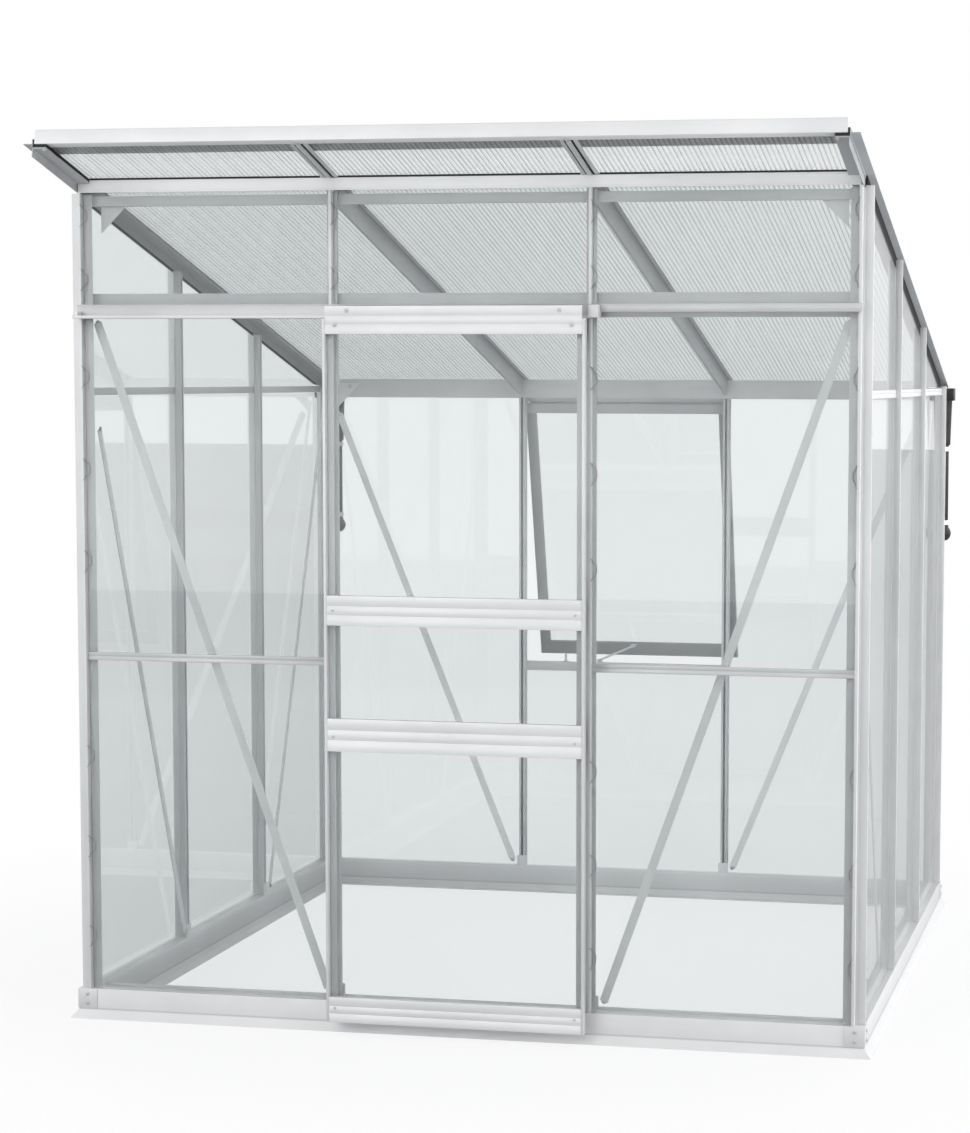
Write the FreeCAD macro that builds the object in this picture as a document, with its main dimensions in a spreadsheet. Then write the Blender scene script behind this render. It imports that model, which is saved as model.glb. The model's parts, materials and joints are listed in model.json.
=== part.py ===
import FreeCAD, Part
import math
import os

# Free-standing lean-to greenhouse, in millimetres.
# X runs to the right along the front, Y runs to the rear, Z is up.
# The origin is the centre of the anchor bolt pattern, on the ground under the base.

DRIVING_SIZES = {
    # frame
    "bay": 620.0,
    "half_frame": 957.0,
    "nose_depth": 20.0,
    "nose_width": 7.0,
    "flange_width": 24.0,
    "channel_depth": 18.0,
    "wall": 2.0,
    # base
    "sill_height": 71.0,
    "sill_crease": 21.5,
    "sill_inner": 32.0,
    "sill_toe": 37.0,
    "anchor_radius": 4.5,
    "anchor_spacing_x": 900.0,
    # front wall
    "mid_rail_top": 891.0,
    "mid_rail_height": 19.0,
    "track_bottom": 1687.0,
    "cover_bottom": 1701.0,
    "transom_top": 1720.0,
    "transom_beam_top": 1747.0,
    "head_rail_bottom": 1983.0,
    "head_rail_top": 2012.0,
    "track_right_end": 337.0,
    # side and rear walls
    "side_rail_bottom": 1505.0,
    "side_rail_height": 19.0,
    "eave_rail_bottom": 1491.0,
    "window_sill_top": 697.0,
    "window_sill_height": 27.0,
    # roof
    "pitch": 14.0,
    "verge_at_front": 2018.6,
    "front_overhang": 250.0,
    "rear_overhang": 68.0,
    "verge_upstand": 19.2,
    "end_web_depth": 22.0,
    "panel_thickness": 8.0,
    "flute_pitch": 16.0,
    "rafter_flange": 40.0,
    "rafter_stem": 8.0,
    "rafter_depth": 47.3,
    # glass
    "glass": 3.0,
    "glass_gap": 1.5,
    # door
    "door_width": 622.0,
    "door_front": 60.0,
    "door_depth": 22.0,
    "door_bottom": 33.0,
    "door_stile_top": 1685.5,
    "door_top_plate": 1715.0,
    "roller_radius": 9.8,
    "roller_bore": 3.05,
    "axle_radius": 3.0,
    "roller_gap": 0.3,
    # window
    "window_width": 618.0,
    "window_height": 802.0,
    "window_depth": 14.0,
    "window_open": 15.0,
    "hinge_out": 7.5,
    "hinge_height": 1482.0,
    "hinge_radius": 3.0,
    # rainwater
    "pipe_radius": 30.0,
    "pipe_wall": 2.0,
    "pipe_x": 930.0,
    "pipe_out": 46.0,
    # fixings
    "bolt_radius": 6.5,
    "bolt_height": 4.0,
    "plate": 3.0,
    "brace_width": 20.0,
}

doc = FreeCAD.newDocument("greenhouse")
sheet = doc.addObject("Spreadsheet::Sheet", "Sizes")
for row, (alias, amount) in enumerate(DRIVING_SIZES.items(), start=1):
    sheet.set(f"A{row}", alias)
    sheet.set(f"B{row}", str(amount))
    sheet.setAlias(f"B{row}", alias)
doc.recompute()

V = FreeCAD.Vector
NODES = []


def size(alias):
    return float(sheet.get(alias))


HALF = size("half_frame")
GLASS = HALF - size("nose_depth")
BAY = size("bay")
WALL = size("wall")
SILL = size("sill_height")
PITCH = math.radians(size("pitch"))
SIDES = {"left": -1, "right": 1}
# Turns about Z that point a section's +Y outwards through each wall.
FACING = {"front": 180.0, "rear": 0.0, "left": 90.0, "right": -90.0}


def turn(axis, degrees):
    return FreeCAD.Rotation(axis, degrees)


def place(base, rotation=None):
    return FreeCAD.Placement(base, rotation or FreeCAD.Rotation())


def node(label, parts):
    """Names a sub-part; several separate solids are held in a compound."""
    if len(parts) == 1:
        whole = parts[0]
    else:
        whole = doc.addObject("Part::Compound", "Group")
        whole.Links = parts
    whole.Label = label
    NODES.append(whole)
    return whole


def block(corner, lengths, rotation=None):
    """A box from its low corner; each length is an expression or a number."""
    box = doc.addObject("Part::Box", "Block")
    for name, length in zip(("Length", "Width", "Height"), lengths):
        box.setExpression(name, str(length))
    box.Placement = place(corner, rotation)
    return box


def rod(base, axis, radius, height):
    """A cylinder that starts at base and runs along axis."""
    cylinder = doc.addObject("Part::Cylinder", "Rod")
    cylinder.setExpression("Radius", str(radius))
    cylinder.setExpression("Height", str(height))
    cylinder.Placement = place(base, FreeCAD.Rotation(V(0, 0, 1), axis))
    return cylinder


def cut(base, tool):
    result = doc.addObject("Part::Cut", "Cut")
    result.Base = base
    result.Tool = tool
    return result


def fuse(parts):
    result = doc.addObject("Part::MultiFuse", "Fuse")
    result.Shapes = parts
    return result


def common(base, tool):
    result = doc.addObject("Part::Common", "Common")
    result.Base = base
    result.Tool = tool
    return result


def draw_outline(sketch, points):
    """Closed line loop through the points, with its corners joined."""
    corners = [V(x, y, 0) for x, y in points]
    count = len(corners)
    for index, corner in enumerate(corners):
        sketch.addGeometry(Part.LineSegment(corner, corners[(index + 1) % count]), False)


def prism(plane, outlines, length, placement, symmetric=True, backwards=False):
    """A body whose sketched outlines are padded along the plane's normal."""
    body = doc.addObject("PartDesign::Body", "Body")
    sketch = body.newObject("Sketcher::SketchObject", "Outline")
    origin_plane = [item for item in body.Origin.OriginFeatures if item.Role == plane][0]
    sketch.AttachmentSupport = [(origin_plane, "")]
    sketch.MapMode = "FlatFace"
    for points in outlines:
        draw_outline(sketch, points)
    pad = body.newObject("PartDesign::Pad", "Pad")
    pad.Profile = sketch
    pad.setExpression("Length", str(length))
    if symmetric:
        pad.Midplane = True
    pad.Reversed = backwards
    body.Placement = placement
    return body


def rectangle(x0, y0, x1, y1):
    return [(x0, y0), (x1, y0), (x1, y1), (x0, y1)]


# Roof plane: s runs down the slope from the front tip, n is normal to it.

def verge_z(y):
    """Height of the verge's top line at a place y along the house."""
    return size("verge_at_front") - (y + HALF) * math.tan(PITCH)


ROOF_FRONT = -HALF - size("front_overhang")
ROOF_TURN = turn(V(1, 0, 0), -size("pitch"))
ROOF_LENGTH = (2 * HALF + size("front_overhang") + size("rear_overhang")) / math.cos(PITCH)


ROOF_ORIGIN = place(V(0, ROOF_FRONT, verge_z(ROOF_FRONT)), ROOF_TURN)


def slope_at(y, n=0.0):
    """Distance down the slope at which a point n off the roof line has the place y."""
    return (y - ROOF_FRONT - n * math.sin(PITCH)) / math.cos(PITCH)


def on_roof(x, s, n):
    """Point of the roof frame in the house's frame."""
    local = ROOF_TURN.multVec(V(x, s, n))
    return V(0, ROOF_FRONT, verge_z(ROOF_FRONT)) + local


def roof_block(x0, s0, n0, width, length, height):
    return block(on_roof(x0, s0, n0), (width, length, height), ROOF_TURN)


# Wall frame: along runs beside the wall, out is measured from the glass plane.

def wall_point(facing, along, out, z):
    reach = GLASS + out
    return {
        "front": V(along, -reach, z),
        "rear": V(along, reach, z),
        "left": V(-reach, along, z),
        "right": V(reach, along, z),
    }[facing]


def wall_block(facing, along, out, z, spans, bound_depth=None):
    """Box on a wall; along, out and z are its low values, spans its three sizes."""
    width, depth, height = spans
    thin = bound_depth or depth
    if facing in ("front", "rear"):
        y = GLASS + out if facing == "rear" else -GLASS - out - depth
        return block(V(along, y, z), (width, thin, height))
    x = GLASS + out if facing == "right" else -GLASS - out - depth
    return block(V(x, along, z), (thin, width, height))


BAR_HALF = size("nose_width") / 2
FLANGE_HALF = size("flange_width") / 2
NOSE = size("nose_depth")
CHANNEL = size("channel_depth")
CHANNEL_HALF = 9.0
SLOT_HALF = 3.0
BAR_SECTION = [
    (-BAR_HALF, NOSE),
    (BAR_HALF, NOSE),
    (BAR_HALF, 0),
    (FLANGE_HALF, 0),
    (FLANGE_HALF, -WALL),
    (CHANNEL_HALF, -WALL),
    (CHANNEL_HALF, -CHANNEL),
    (SLOT_HALF, -CHANNEL),
    (SLOT_HALF, WALL - CHANNEL),
    (CHANNEL_HALF - WALL, WALL - CHANNEL),
    (CHANNEL_HALF - WALL, -WALL),
    (WALL - CHANNEL_HALF, -WALL),
    (WALL - CHANNEL_HALF, WALL - CHANNEL),
    (-SLOT_HALF, WALL - CHANNEL),
    (-SLOT_HALF, -CHANNEL),
    (-CHANNEL_HALF, -CHANNEL),
    (-CHANNEL_HALF, -WALL),
    (-FLANGE_HALF, -WALL),
    (-FLANGE_HALF, 0),
    (-BAR_HALF, 0),
]
FRONT_BARS = {"left": -BAY / 2, "right": BAY / 2}
SIDE_NOSE = 1.5 * BAY
SIDE_BARS = {"front": -BAY / 2, "rear": BAY / 2}

FIT = 0.3
SHEET_TOP = 6.0
SHEET_BOTTOM = SHEET_TOP - size("panel_thickness")
FLANGE_TOP = SHEET_BOTTOM - 0.2
FLANGE_BOTTOM = FLANGE_TOP - 3.0
STEM_BOTTOM = FLANGE_BOTTOM - size("rafter_depth")
# End rafters: an inward flange over a web that stands just inside the side bars.
END_FLANGE_TOP = -11.5
END_FLANGE_BOTTOM = -14.5
END_INNER = 901.0
END_OUTER = GLASS - WALL - FIT
WEB_BOTTOM = END_FLANGE_TOP - size("end_web_depth")
VERGE_OUTER = HALF
VERGE_FLANGE = -5.0


def roof_space():
    """Space of the roof that posts and bars are cut back from."""
    boxes = []
    bottom = WEB_BOTTOM - FIT
    for side in SIDES.values():
        low = END_INNER - 1 if side > 0 else -GLASS
        boxes.append(roof_block(low, 0, bottom, GLASS - END_INNER + 1, 2600, 200))
    reach = VERGE_OUTER + 2
    boxes.append(roof_block(-reach, 0, END_FLANGE_BOTTOM + 0.2, 2 * reach, 2600, 200))
    return fuse(boxes)


def base_sills():
    """Four mitred base profiles, open below, with holed floor flanges inside."""
    top = size("sill_height")
    crease = size("sill_crease")
    inner = size("sill_inner")
    toe = size("sill_toe")
    lip = 6.0
    floor_flange = inner + 25.0
    section = [
        (NOSE, top),
        (NOSE, crease),
        (toe, 0),
        (toe - 7, 0),
        (toe - 7, WALL),
        (toe - 3.8, WALL),
        (NOSE - WALL, crease - 0.4),
        (NOSE - WALL, top - WALL),
        (WALL - inner, top - WALL),
        (WALL - inner, 0),
        (-floor_flange, 0),
        (-floor_flange, WALL),
        (-inner, WALL),
        (-inner, top + lip),
        (WALL - inner, top + lip),
        (WALL - inner, top),
    ]
    reach = GLASS + toe + 40
    for name, facing in (("front", 180), ("rear", 0), ("left", 90), ("right", -90)):
        about = turn(V(0, 0, 1), facing)
        outline = [(out + GLASS, z) for out, z in section]
        bar = prism("YZ_Plane", [outline], 2 * reach, place(V(), about))
        wedge = prism("XY_Plane", [[(0, 0), (reach, reach), (-reach, reach)]], 300, place(V(), about))
        piece = common(bar, wedge)
        if name in ("front", "rear"):
            flange_middle = GLASS - inner - 12.5
            y = flange_middle * (1 if name == "rear" else -1)
            holes = [
                rod(V(x * size("anchor_spacing_x") / 2, y, -10), V(0, 0, 1), "Sizes.anchor_radius", 20)
                for x in (-1, 1)
            ]
            piece = cut(piece, fuse(holes))
        node(f"base_sill_{name}", [piece])


POST_CORE = 22.0


def corner_outline(side_x, side_y):
    """Corner post section: noses to the front or rear and to the side, and a hollow core."""
    near = BAR_HALF * 2
    first = GLASS - SIDE_NOSE - BAR_HALF
    leg = 32.0
    core = POST_CORE
    outer = [
        (0, 0),
        (first, 0),
        (first, -NOSE),
        (first + near, -NOSE),
        (first + near, 0),
        (leg, 0),
        (leg, WALL),
        (core, WALL),
        (core, core),
        (WALL, core),
        (WALL, leg),
        (0, leg),
        (0, first + near),
        (-NOSE, first + near),
        (-NOSE, first),
        (0, first),
    ]
    hollow = rectangle(2 * WALL, 2 * WALL, core - WALL, core - WALL)
    corner_x = side_x * GLASS
    corner_y = side_y * GLASS
    return [
        [(corner_x - side_x * u, corner_y - side_y * v) for u, v in loop]
        for loop in (outer, hollow)
    ]


def corner_posts(space):
    for rank, side_y, top in (("front", -1, size("head_rail_bottom")), ("rear", 1, 1531.0)):
        for side, side_x in SIDES.items():
            outlines = corner_outline(side_x, side_y)
            post = prism("XY_Plane", outlines, top - SILL, place(V(0, 0, SILL)), symmetric=False)
            node(f"corner_post_{rank}_{side}", [cut(post, space)])


def upright(facing, along, bottom, top):
    about = turn(V(0, 0, 1), FACING[facing])
    foot = wall_point(facing, along, 0, bottom)
    return prism("XY_Plane", [BAR_SECTION], top - bottom, place(foot, about), symmetric=False)


def wall_bars(space):
    jambs = [upright("front", x, SILL, size("head_rail_bottom")) for x in FRONT_BARS.values()]
    node("door_jambs", jambs)
    bars = []
    for side in SIDES:
        for y in SIDE_BARS.values():
            bar = upright(side, y, SILL, verge_z(y) - 8)
            bars.append(cut(bar, space))
    node("side_bars", bars)
    rear = [upright("rear", x, SILL, size("eave_rail_bottom") - 1) for x in FRONT_BARS.values()]
    node("rear_bars", rear)


RAIL_OUT = 0.5
RAIL_DEPTH = 9.5
CLEAR_BAY = BAY - size("nose_width")


def glazing_rail(facing, centre, bottom, height, depth=RAIL_DEPTH):
    """Grooved rail between two bar noses that carries the panes' edges."""
    outline = [
        (RAIL_OUT, bottom),
        (RAIL_OUT + depth, bottom),
        (RAIL_OUT + depth, bottom + height * 0.4),
        (RAIL_OUT + depth - 1.5, bottom + height * 0.5),
        (RAIL_OUT + depth, bottom + height * 0.6),
        (RAIL_OUT + depth, bottom + height),
        (RAIL_OUT, bottom + height),
    ]
    about = turn(V(0, 0, 1), FACING[facing])
    foot = wall_point(facing, centre, 0, 0)
    return prism("YZ_Plane", [outline], CLEAR_BAY - 2 * FIT, place(foot, about))


def front_rails():
    # The cover rail and the track stand just ahead of the bar noses.
    front = -HALF - 1.0
    cover_bottom = size("cover_bottom")
    cover_top = size("transom_top")
    track_end = size("track_right_end")
    cover = prism(
        "YZ_Plane",
        [[
            (front, cover_bottom),
            (front, cover_top),
            (front - 8, cover_top),
            (front - 8, cover_top - WALL),
            (front - 10, cover_top - 5),
            (front - 10, cover_bottom + 4),
            (front - 8, cover_bottom + 1),
            (front - 8, cover_bottom),
        ]],
        GLASS - track_end - 1,
        place(V((GLASS + track_end) / 2, 0, 0)),
    )
    node("transom_cover_rail", [cover])
    rails = [
        glazing_rail("front", x, cover_bottom, cover_top - cover_bottom, 18.0)
        for x in (-BAY, 0, BAY)
    ]
    beam_y = -GLASS + CHANNEL + 1
    beam_length = 2 * (GLASS - POST_CORE - 0.5)
    beam = prism(
        "YZ_Plane",
        [channel_outline(beam_y, size("track_bottom") + 3, 17, size("transom_beam_top") - 1690)],
        beam_length,
        place(V()),
    )
    head_beam = prism("YZ_Plane", [channel_outline(beam_y, 1953, 17, 24)], beam_length, place(V()))
    node("front_cross_beams", [beam, head_beam])
    low = size("head_rail_bottom")
    high = size("head_rail_top")
    head = prism(
        "YZ_Plane",
        [[
            (front, low),
            (front, high),
            (front - WALL, high),
            (front - WALL, low + 3),
            (front - 4, low + 2),
            (front - 4, low),
        ]],
        2 * (END_OUTER - WALL - 2.5),
        place(V()),
    )
    # The end rafters' flanges pass over the rail's two ends.
    notches = [
        roof_block(low_x, 200, END_FLANGE_BOTTOM - FIT, 40, 120, 30)
        for low_x in (END_INNER - FIT, -END_INNER + FIT - 40)
    ]
    node("head_rail", [cut(head, fuse(notches))])
    mid_height = size("mid_rail_height")
    for x in (-BAY, BAY):
        rails.append(glazing_rail("front", x, size("mid_rail_top") - mid_height, mid_height))
    node("front_glazing_rails", rails)


def channel_outline(y, z, depth, height):
    """C section, open to the rear."""
    return [
        (y, z),
        (y + depth, z),
        (y + depth, z + 8),
        (y + depth - WALL, z + 8),
        (y + depth - WALL, z + WALL),
        (y + WALL, z + WALL),
        (y + WALL, z + height - WALL),
        (y + depth - WALL, z + height - WALL),
        (y + depth - WALL, z + height - 8),
        (y + depth, z + height - 8),
        (y + depth, z + height),
        (y, z + height),
    ]


TRACK_LIP = 34.0


def door_track():
    """Track with a shelf that the rollers run on, a front lip and two end stops."""
    back = -HALF - 1.0
    low = size("track_bottom")
    top = size("transom_top")
    outline = [
        (back, low),
        (back, top),
        (back - 5, top),
        (back - 5, top - WALL),
        (back - WALL, top - WALL),
        (back - WALL, low + WALL),
        (-HALF - TRACK_LIP + WALL, low + WALL),
        (-HALF - TRACK_LIP + WALL, low + 7),
        (-HALF - TRACK_LIP, low + 7),
        (-HALF - TRACK_LIP, low),
    ]
    left = -GLASS + 1
    right = size("track_right_end") - 24
    rail = prism("YZ_Plane", [outline], right - left, place(V((left + right) / 2, 0, 0)))
    node("door_track", [rail])
    stops = [
        block(V(right + 0.2, -HALF - 36, low + 1), (23.5, 34.5, 29)),
        block(V(left + 0.5, -HALF - 31.5, low + WALL + 0.1), (12, 28, 14)),
    ]
    node("track_end_stops", stops)


def side_and_rear_rails():
    low = size("side_rail_bottom")
    height = size("side_rail_height")
    rails = [glazing_rail(side, y, low, height, 7.0) for side in SIDES for y in (-BAY, 0, BAY)]
    node("eave_glazing_rails", rails)
    sill = glazing_rail(
        "rear", 0, size("window_sill_top") - size("window_sill_height"), size("window_sill_height"), 18.0
    )
    node("window_sill_rail", [sill])
    inner = GLASS - CHANNEL - 1
    low = size("eave_rail_bottom")
    clear = (FIT - FLANGE_BOTTOM) / math.cos(PITCH)
    inner_top = verge_z(inner) - clear
    outer_top = verge_z(HALF) - clear
    outer = [(inner, low), (HALF, low), (HALF, outer_top), (inner, inner_top)]
    hollow = [
        (inner + WALL, low + WALL),
        (HALF - WALL, low + WALL),
        (HALF - WALL, outer_top - WALL),
        (inner + WALL, inner_top - WALL),
    ]
    rail = prism("YZ_Plane", [outer, hollow], 2 * (END_INNER - FIT), place(V()))
    node("rear_eave_rail", [rail])


def hollow_stem(x, width, top, depth, start, end):
    """Box section under a rafter's flange, from start to end down the slope."""
    half = width / 2
    outer = rectangle(-half, top - depth, half, top)
    inner = rectangle(WALL - half, top - depth + WALL, half - WALL, top - WALL)
    base = ROOF_ORIGIN.multiply(place(V(x, start, 0)))
    return prism("XZ_Plane", [outer, inner], end - start, base, symmetric=False, backwards=True)


HOOD_HALF = 930.0
HOOD_DEPTH = 105.0
END_START = 1.0
SLOT_NEAR = 5.0
SLOT_FAR = 11.0
SLOT_DEPTH = 2.0


def roof_frame():
    """Roof pieces in the roof frame: rafters, verges, front edge and panels."""
    flange = size("rafter_flange")
    stem = size("rafter_stem")
    depth = size("rafter_depth")
    stem_start = slope_at(-GLASS + CHANNEL + 20, STEM_BOTTOM)
    stem_end = slope_at(GLASS - CHANNEL - 2)
    rib_end = slope_at(-HALF - 6)
    flange_end = slope_at(GLASS + NOSE)
    rafter_start = 26.5
    middles = []
    for x in (-BAY / 2, BAY / 2):
        # Flange with a slot for a rubber strip on each side of its middle.
        outline = [
            (-flange / 2, FLANGE_TOP),
            (flange / 2, FLANGE_TOP),
            (flange / 2, FLANGE_BOTTOM),
            (SLOT_FAR, FLANGE_BOTTOM),
            (SLOT_FAR, FLANGE_BOTTOM + SLOT_DEPTH),
            (SLOT_NEAR, FLANGE_BOTTOM + SLOT_DEPTH),
            (SLOT_NEAR, FLANGE_BOTTOM),
            (-SLOT_NEAR, FLANGE_BOTTOM),
            (-SLOT_NEAR, FLANGE_BOTTOM + SLOT_DEPTH),
            (-SLOT_FAR, FLANGE_BOTTOM + SLOT_DEPTH),
            (-SLOT_FAR, FLANGE_BOTTOM),
            (-flange / 2, FLANGE_BOTTOM),
        ]
        length = flange_end - rafter_start
        foot = ROOF_ORIGIN.multiply(place(V(x, rafter_start, 0)))
        middles.append(fuse([
            prism("XZ_Plane", [outline], length, foot, symmetric=False, backwards=True),
            hollow_stem(x, stem, FLANGE_BOTTOM, depth, stem_start, stem_end),
            roof_block(x - SLOT_NEAR, rafter_start, FLANGE_BOTTOM - 4, 2 * SLOT_NEAR, rib_end - rafter_start, 4),
            roof_block(x - BAR_HALF, 110.0, FLANGE_TOP, 2 * BAR_HALF, flange_end - 110.0, 14),
        ]))
    node("rafters_middle", middles)
    ends = []
    for sign in SIDES.values():
        outline = [
            (END_INNER, END_FLANGE_TOP),
            (END_OUTER, END_FLANGE_TOP),
            (END_OUTER, WEB_BOTTOM),
            (END_OUTER - WALL, WEB_BOTTOM),
            (END_OUTER - WALL, END_FLANGE_BOTTOM),
            (END_INNER, END_FLANGE_BOTTOM),
        ]
        outline = [(sign * x, n) for x, n in outline]
        length = flange_end - END_START
        foot = ROOF_ORIGIN.multiply(place(V(0, END_START, 0)))
        ends.append(prism("XZ_Plane", [outline], length, foot, symmetric=False, backwards=True))
    node("rafters_end", ends)
    # Verge section in x and n: a lip over the panel, an upstand and a thin outer flange.
    upstand = END_OUTER - 0.2
    skin = 1.6
    top = SHEET_TOP + 2.0
    foot = top - size("verge_upstand")
    inner = upstand - 20
    verges = []
    for sign in SIDES.values():
        outline = [
            (inner, top),
            (upstand + skin, top),
            (upstand + skin, VERGE_FLANGE + skin),
            (VERGE_OUTER, VERGE_FLANGE + skin),
            (VERGE_OUTER, VERGE_FLANGE),
            (upstand + skin, VERGE_FLANGE),
            (upstand + skin, foot),
            (upstand, foot),
            (upstand, top - 1.5),
            (inner, top - 1.5),
        ]
        outline = [(sign * x, n) for x, n in outline]
        verge = prism("XZ_Plane", [outline], ROOF_LENGTH, ROOF_ORIGIN, symmetric=False, backwards=True)
        low_x = inner - 2 if sign > 0 else -HOOD_HALF - FIT
        spaces = [
            block(V(-1000, HALF + 1.5, 1400), (2000, 200, GUTTER_FLOOR + 36 - 1400)),
            roof_block(low_x, -2, SHEET_TOP, HOOD_HALF + FIT - inner + 2, HOOD_DEPTH + 3, 10),
        ]
        verges.append(cut(verge, fuse(spaces)))
    node("verges", verges)
    # Front edge: web, lower flange and a rounded hood that lies on the panels.
    bottom = SHEET_BOTTOM - FIT
    rest = SHEET_TOP + 0.6
    back = HOOD_DEPTH
    crown = [
        (-1.6, 25.6),
        (-0.4, 28.2),
        (3, 30.6),
        (11, 33.4),
        (21, 35.8),
        (33, 37.6),
        (50, 38.2),
        (back - 11, 38),
        (back - 4.6, 35.4),
        (back - 1, 30),
        (back, 22),
        (back, rest),
    ]
    under = [
        (back - 1.6, rest),
        (back - 1.6, 21.8),
        (back - 2.4, 29.4),
        (back - 5.6, 34),
        (back - 11.4, 36.4),
        (50, 36.6),
        (33.2, 36),
        (21.4, 34.2),
        (11.6, 31.8),
        (4, 29.2),
        (1, 27),
        (0, 25.2),
    ]
    web = [
        (0, bottom),
        (26, bottom),
        (26, bottom - 1.6),
        (-1.6, bottom - 1.6),
    ]
    edge = prism("YZ_Plane", [crown + under + web], 2 * HOOD_HALF, ROOF_ORIGIN)
    caps = []
    for sign in SIDES.values():
        cap = ROOF_ORIGIN.multiply(place(V(sign * (HOOD_HALF - 0.8), 0, 0)))
        caps.append(prism("YZ_Plane", [crown + [(-1.6, rest)]], 1.6, cap))
    node("roof_front_edge", [fuse([edge, *caps])])
    roof_panels()


def roof_panels():
    """Multiwall panels: two skins joined by ribs that run down the slope."""
    thickness = size("panel_thickness")
    top = SHEET_TOP
    skin = 0.8
    rib = 1.0
    length = slope_at(HALF + 34) - 1.0
    gap = BAR_HALF + 0.6
    edge = END_OUTER - 0.5
    spans = [
        (-edge, -BAY / 2 - gap),
        (-BAY / 2 + gap, BAY / 2 - gap),
        (BAY / 2 + gap, edge),
    ]
    panels = []
    for low, high in spans:
        count = round((high - low) / size("flute_pitch"))
        pitch = (high - low - rib) / count
        loops = [rectangle(low, top - thickness, high, top)]
        for index in range(count):
            x = low + rib + index * pitch
            loops.append(rectangle(x, top - thickness + skin, x + pitch - rib, top - skin))
        shift = ROOF_ORIGIN.multiply(place(V(0, 1.0, 0)))
        panels.append(prism("XZ_Plane", loops, length, shift, symmetric=False, backwards=True))
    node("roof_panels", panels)


SEAL_BOTTOM = -38.0
SEAL_THICKNESS = 2.7


def seals():
    """Black strips under the verges, between the bars, and on the head rail."""
    strips = []
    edges = [-SIDE_NOSE, -BAY / 2, BAY / 2, SIDE_NOSE]
    for sign in SIDES.values():
        for low, high in zip(edges, edges[1:]):
            ends = (low + BAR_HALF + 1, high - BAR_HALF - 1)
            top = [(y, verge_z(y) + (VERGE_FLANGE - FIT) / math.cos(PITCH)) for y in ends]
            depth = -SEAL_BOTTOM / math.cos(PITCH)
            floor = size("side_rail_bottom") + size("side_rail_height") + 3.5
            bottom = [(y, verge_z(y) - depth) for y in reversed(ends)]
            if bottom[0][1] < floor:
                corner = -HALF + (size("verge_at_front") - depth - floor) / math.tan(PITCH)
                bottom[:1] = [(ends[1], floor), (corner, floor)]
            x = sign * (GLASS + FIT + SEAL_THICKNESS / 2)
            strips.append(prism("YZ_Plane", [top + bottom], SEAL_THICKNESS, place(V(x, 0, 0))))
        wide = END_OUTER - END_INNER - 3
        low = END_INNER + 1 if sign > 0 else -END_OUTER + 2
        length = slope_at(GLASS) - END_START - 1
        low_n = END_FLANGE_TOP + FIT
        high_n = SHEET_BOTTOM - FIT - 1.9
        strips.append(roof_block(low, END_START + 1, low_n, wide, length, high_n - low_n))
    for x in FRONT_BARS.values():
        for near in (x - SLOT_FAR + 0.2, x + SLOT_NEAR + 0.2):
            foot = FLANGE_BOTTOM + 0.3
            wide = SLOT_FAR - SLOT_NEAR - 0.4
            strips.append(roof_block(near, 27.0, foot, wide, slope_at(GLASS) - 28.0, SLOT_DEPTH - 0.5))
    rails = []
    edges = [-922.0, -BAY / 2, BAY / 2, 922.0]
    for low, high in zip(edges, edges[1:]):
        width = high - low - 44
        y = -HALF - 3
        rails.append(block(V(low + 22, y, size("head_rail_top")), (width, 2, 4.6)))
    node("roof_seals", strips + rails)


GUTTER_BACK = 3.0
GUTTER_FRONT = 63.0
GUTTER_FLOOR = 1490.0


def rainwater():
    """Eave gutter, end outlets with funnels, downpipes, spouts and pipe clips."""
    back = HALF + GUTTER_BACK
    front = HALF + GUTTER_FRONT
    floor = GUTTER_FLOOR
    outline = [
        (back, floor),
        (front - 4, floor),
        (front, floor + 4),
        (front, floor + 33),
        (front - 6, floor + 33),
        (front - 6, floor + 31),
        (front - WALL, floor + 31),
        (front - WALL, floor + 5),
        (front - 5, floor + WALL),
        (back + WALL, floor + WALL),
        (back + WALL, floor + 26),
        (back, floor + 26),
    ]
    trough = prism("YZ_Plane", [outline], 2 * 899.5, place(V()))
    node("rear_gutter", [trough])
    radius = size("pipe_radius")
    y = HALF + size("pipe_out")
    outlets = []
    pipes = []
    spouts = []
    clips = []
    for sign in SIDES.values():
        x = sign * size("pipe_x")
        low_x = 900 if sign > 0 else -975
        shell = block(V(low_x, back, floor - 2), (75, 66, 36))
        cavity = block(V(low_x + (-1 if sign > 0 else 3), back + 3, floor + 1), (73, 60, 60))
        cone = doc.addObject("Part::Cone", "Funnel")
        cone.Radius1 = 34
        cone.Radius2 = 38
        cone.Height = 130
        cone.Placement = place(V(x, y, floor - 132))
        core = doc.addObject("Part::Cone", "FunnelCore")
        core.Radius1 = radius + 0.5
        core.Radius2 = 30.5
        core.Height = 150
        core.Placement = place(V(x, y, floor - 140))
        outlets.append(cut(cut(fuse([shell, cone]), cavity), core))
        tube = rod(V(x, y, 1118), V(0, 0, 1), "Sizes.pipe_radius", 260)
        bore = rod(V(x, y, 1100), V(0, 0, 1), "Sizes.pipe_radius - Sizes.pipe_wall", 300)
        pipes.append(cut(tube, bore))
        profile = [
            (24, 0),
            (28, 0),
            (36, 8),
            (39, 18),
            (39, 24),
            (35, 34),
            (31.5, 38),
            (31.5, 44),
            (30.2, 44),
            (30.2, 39.8),
            (24, 39.8),
        ]
        spouts.append(revolved(profile, V(x, y, 1078)))
        for z in (1124, 1340):
            band = cut(
                rod(V(x, y, z), V(0, 0, 1), radius + 3.5, 13),
                rod(V(x, y, z - 5), V(0, 0, 1), radius + 0.3, 23),
            )
            reach = size("pipe_out") - radius - 2.5
            tab = block(V(x - 8, HALF + 0.3, z), (16, reach, 13))
            clips.append(fuse([band, tab]))
    node("gutter_outlets", outlets)
    node("downpipes", pipes + spouts)
    node("pipe_clips", clips)


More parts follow.
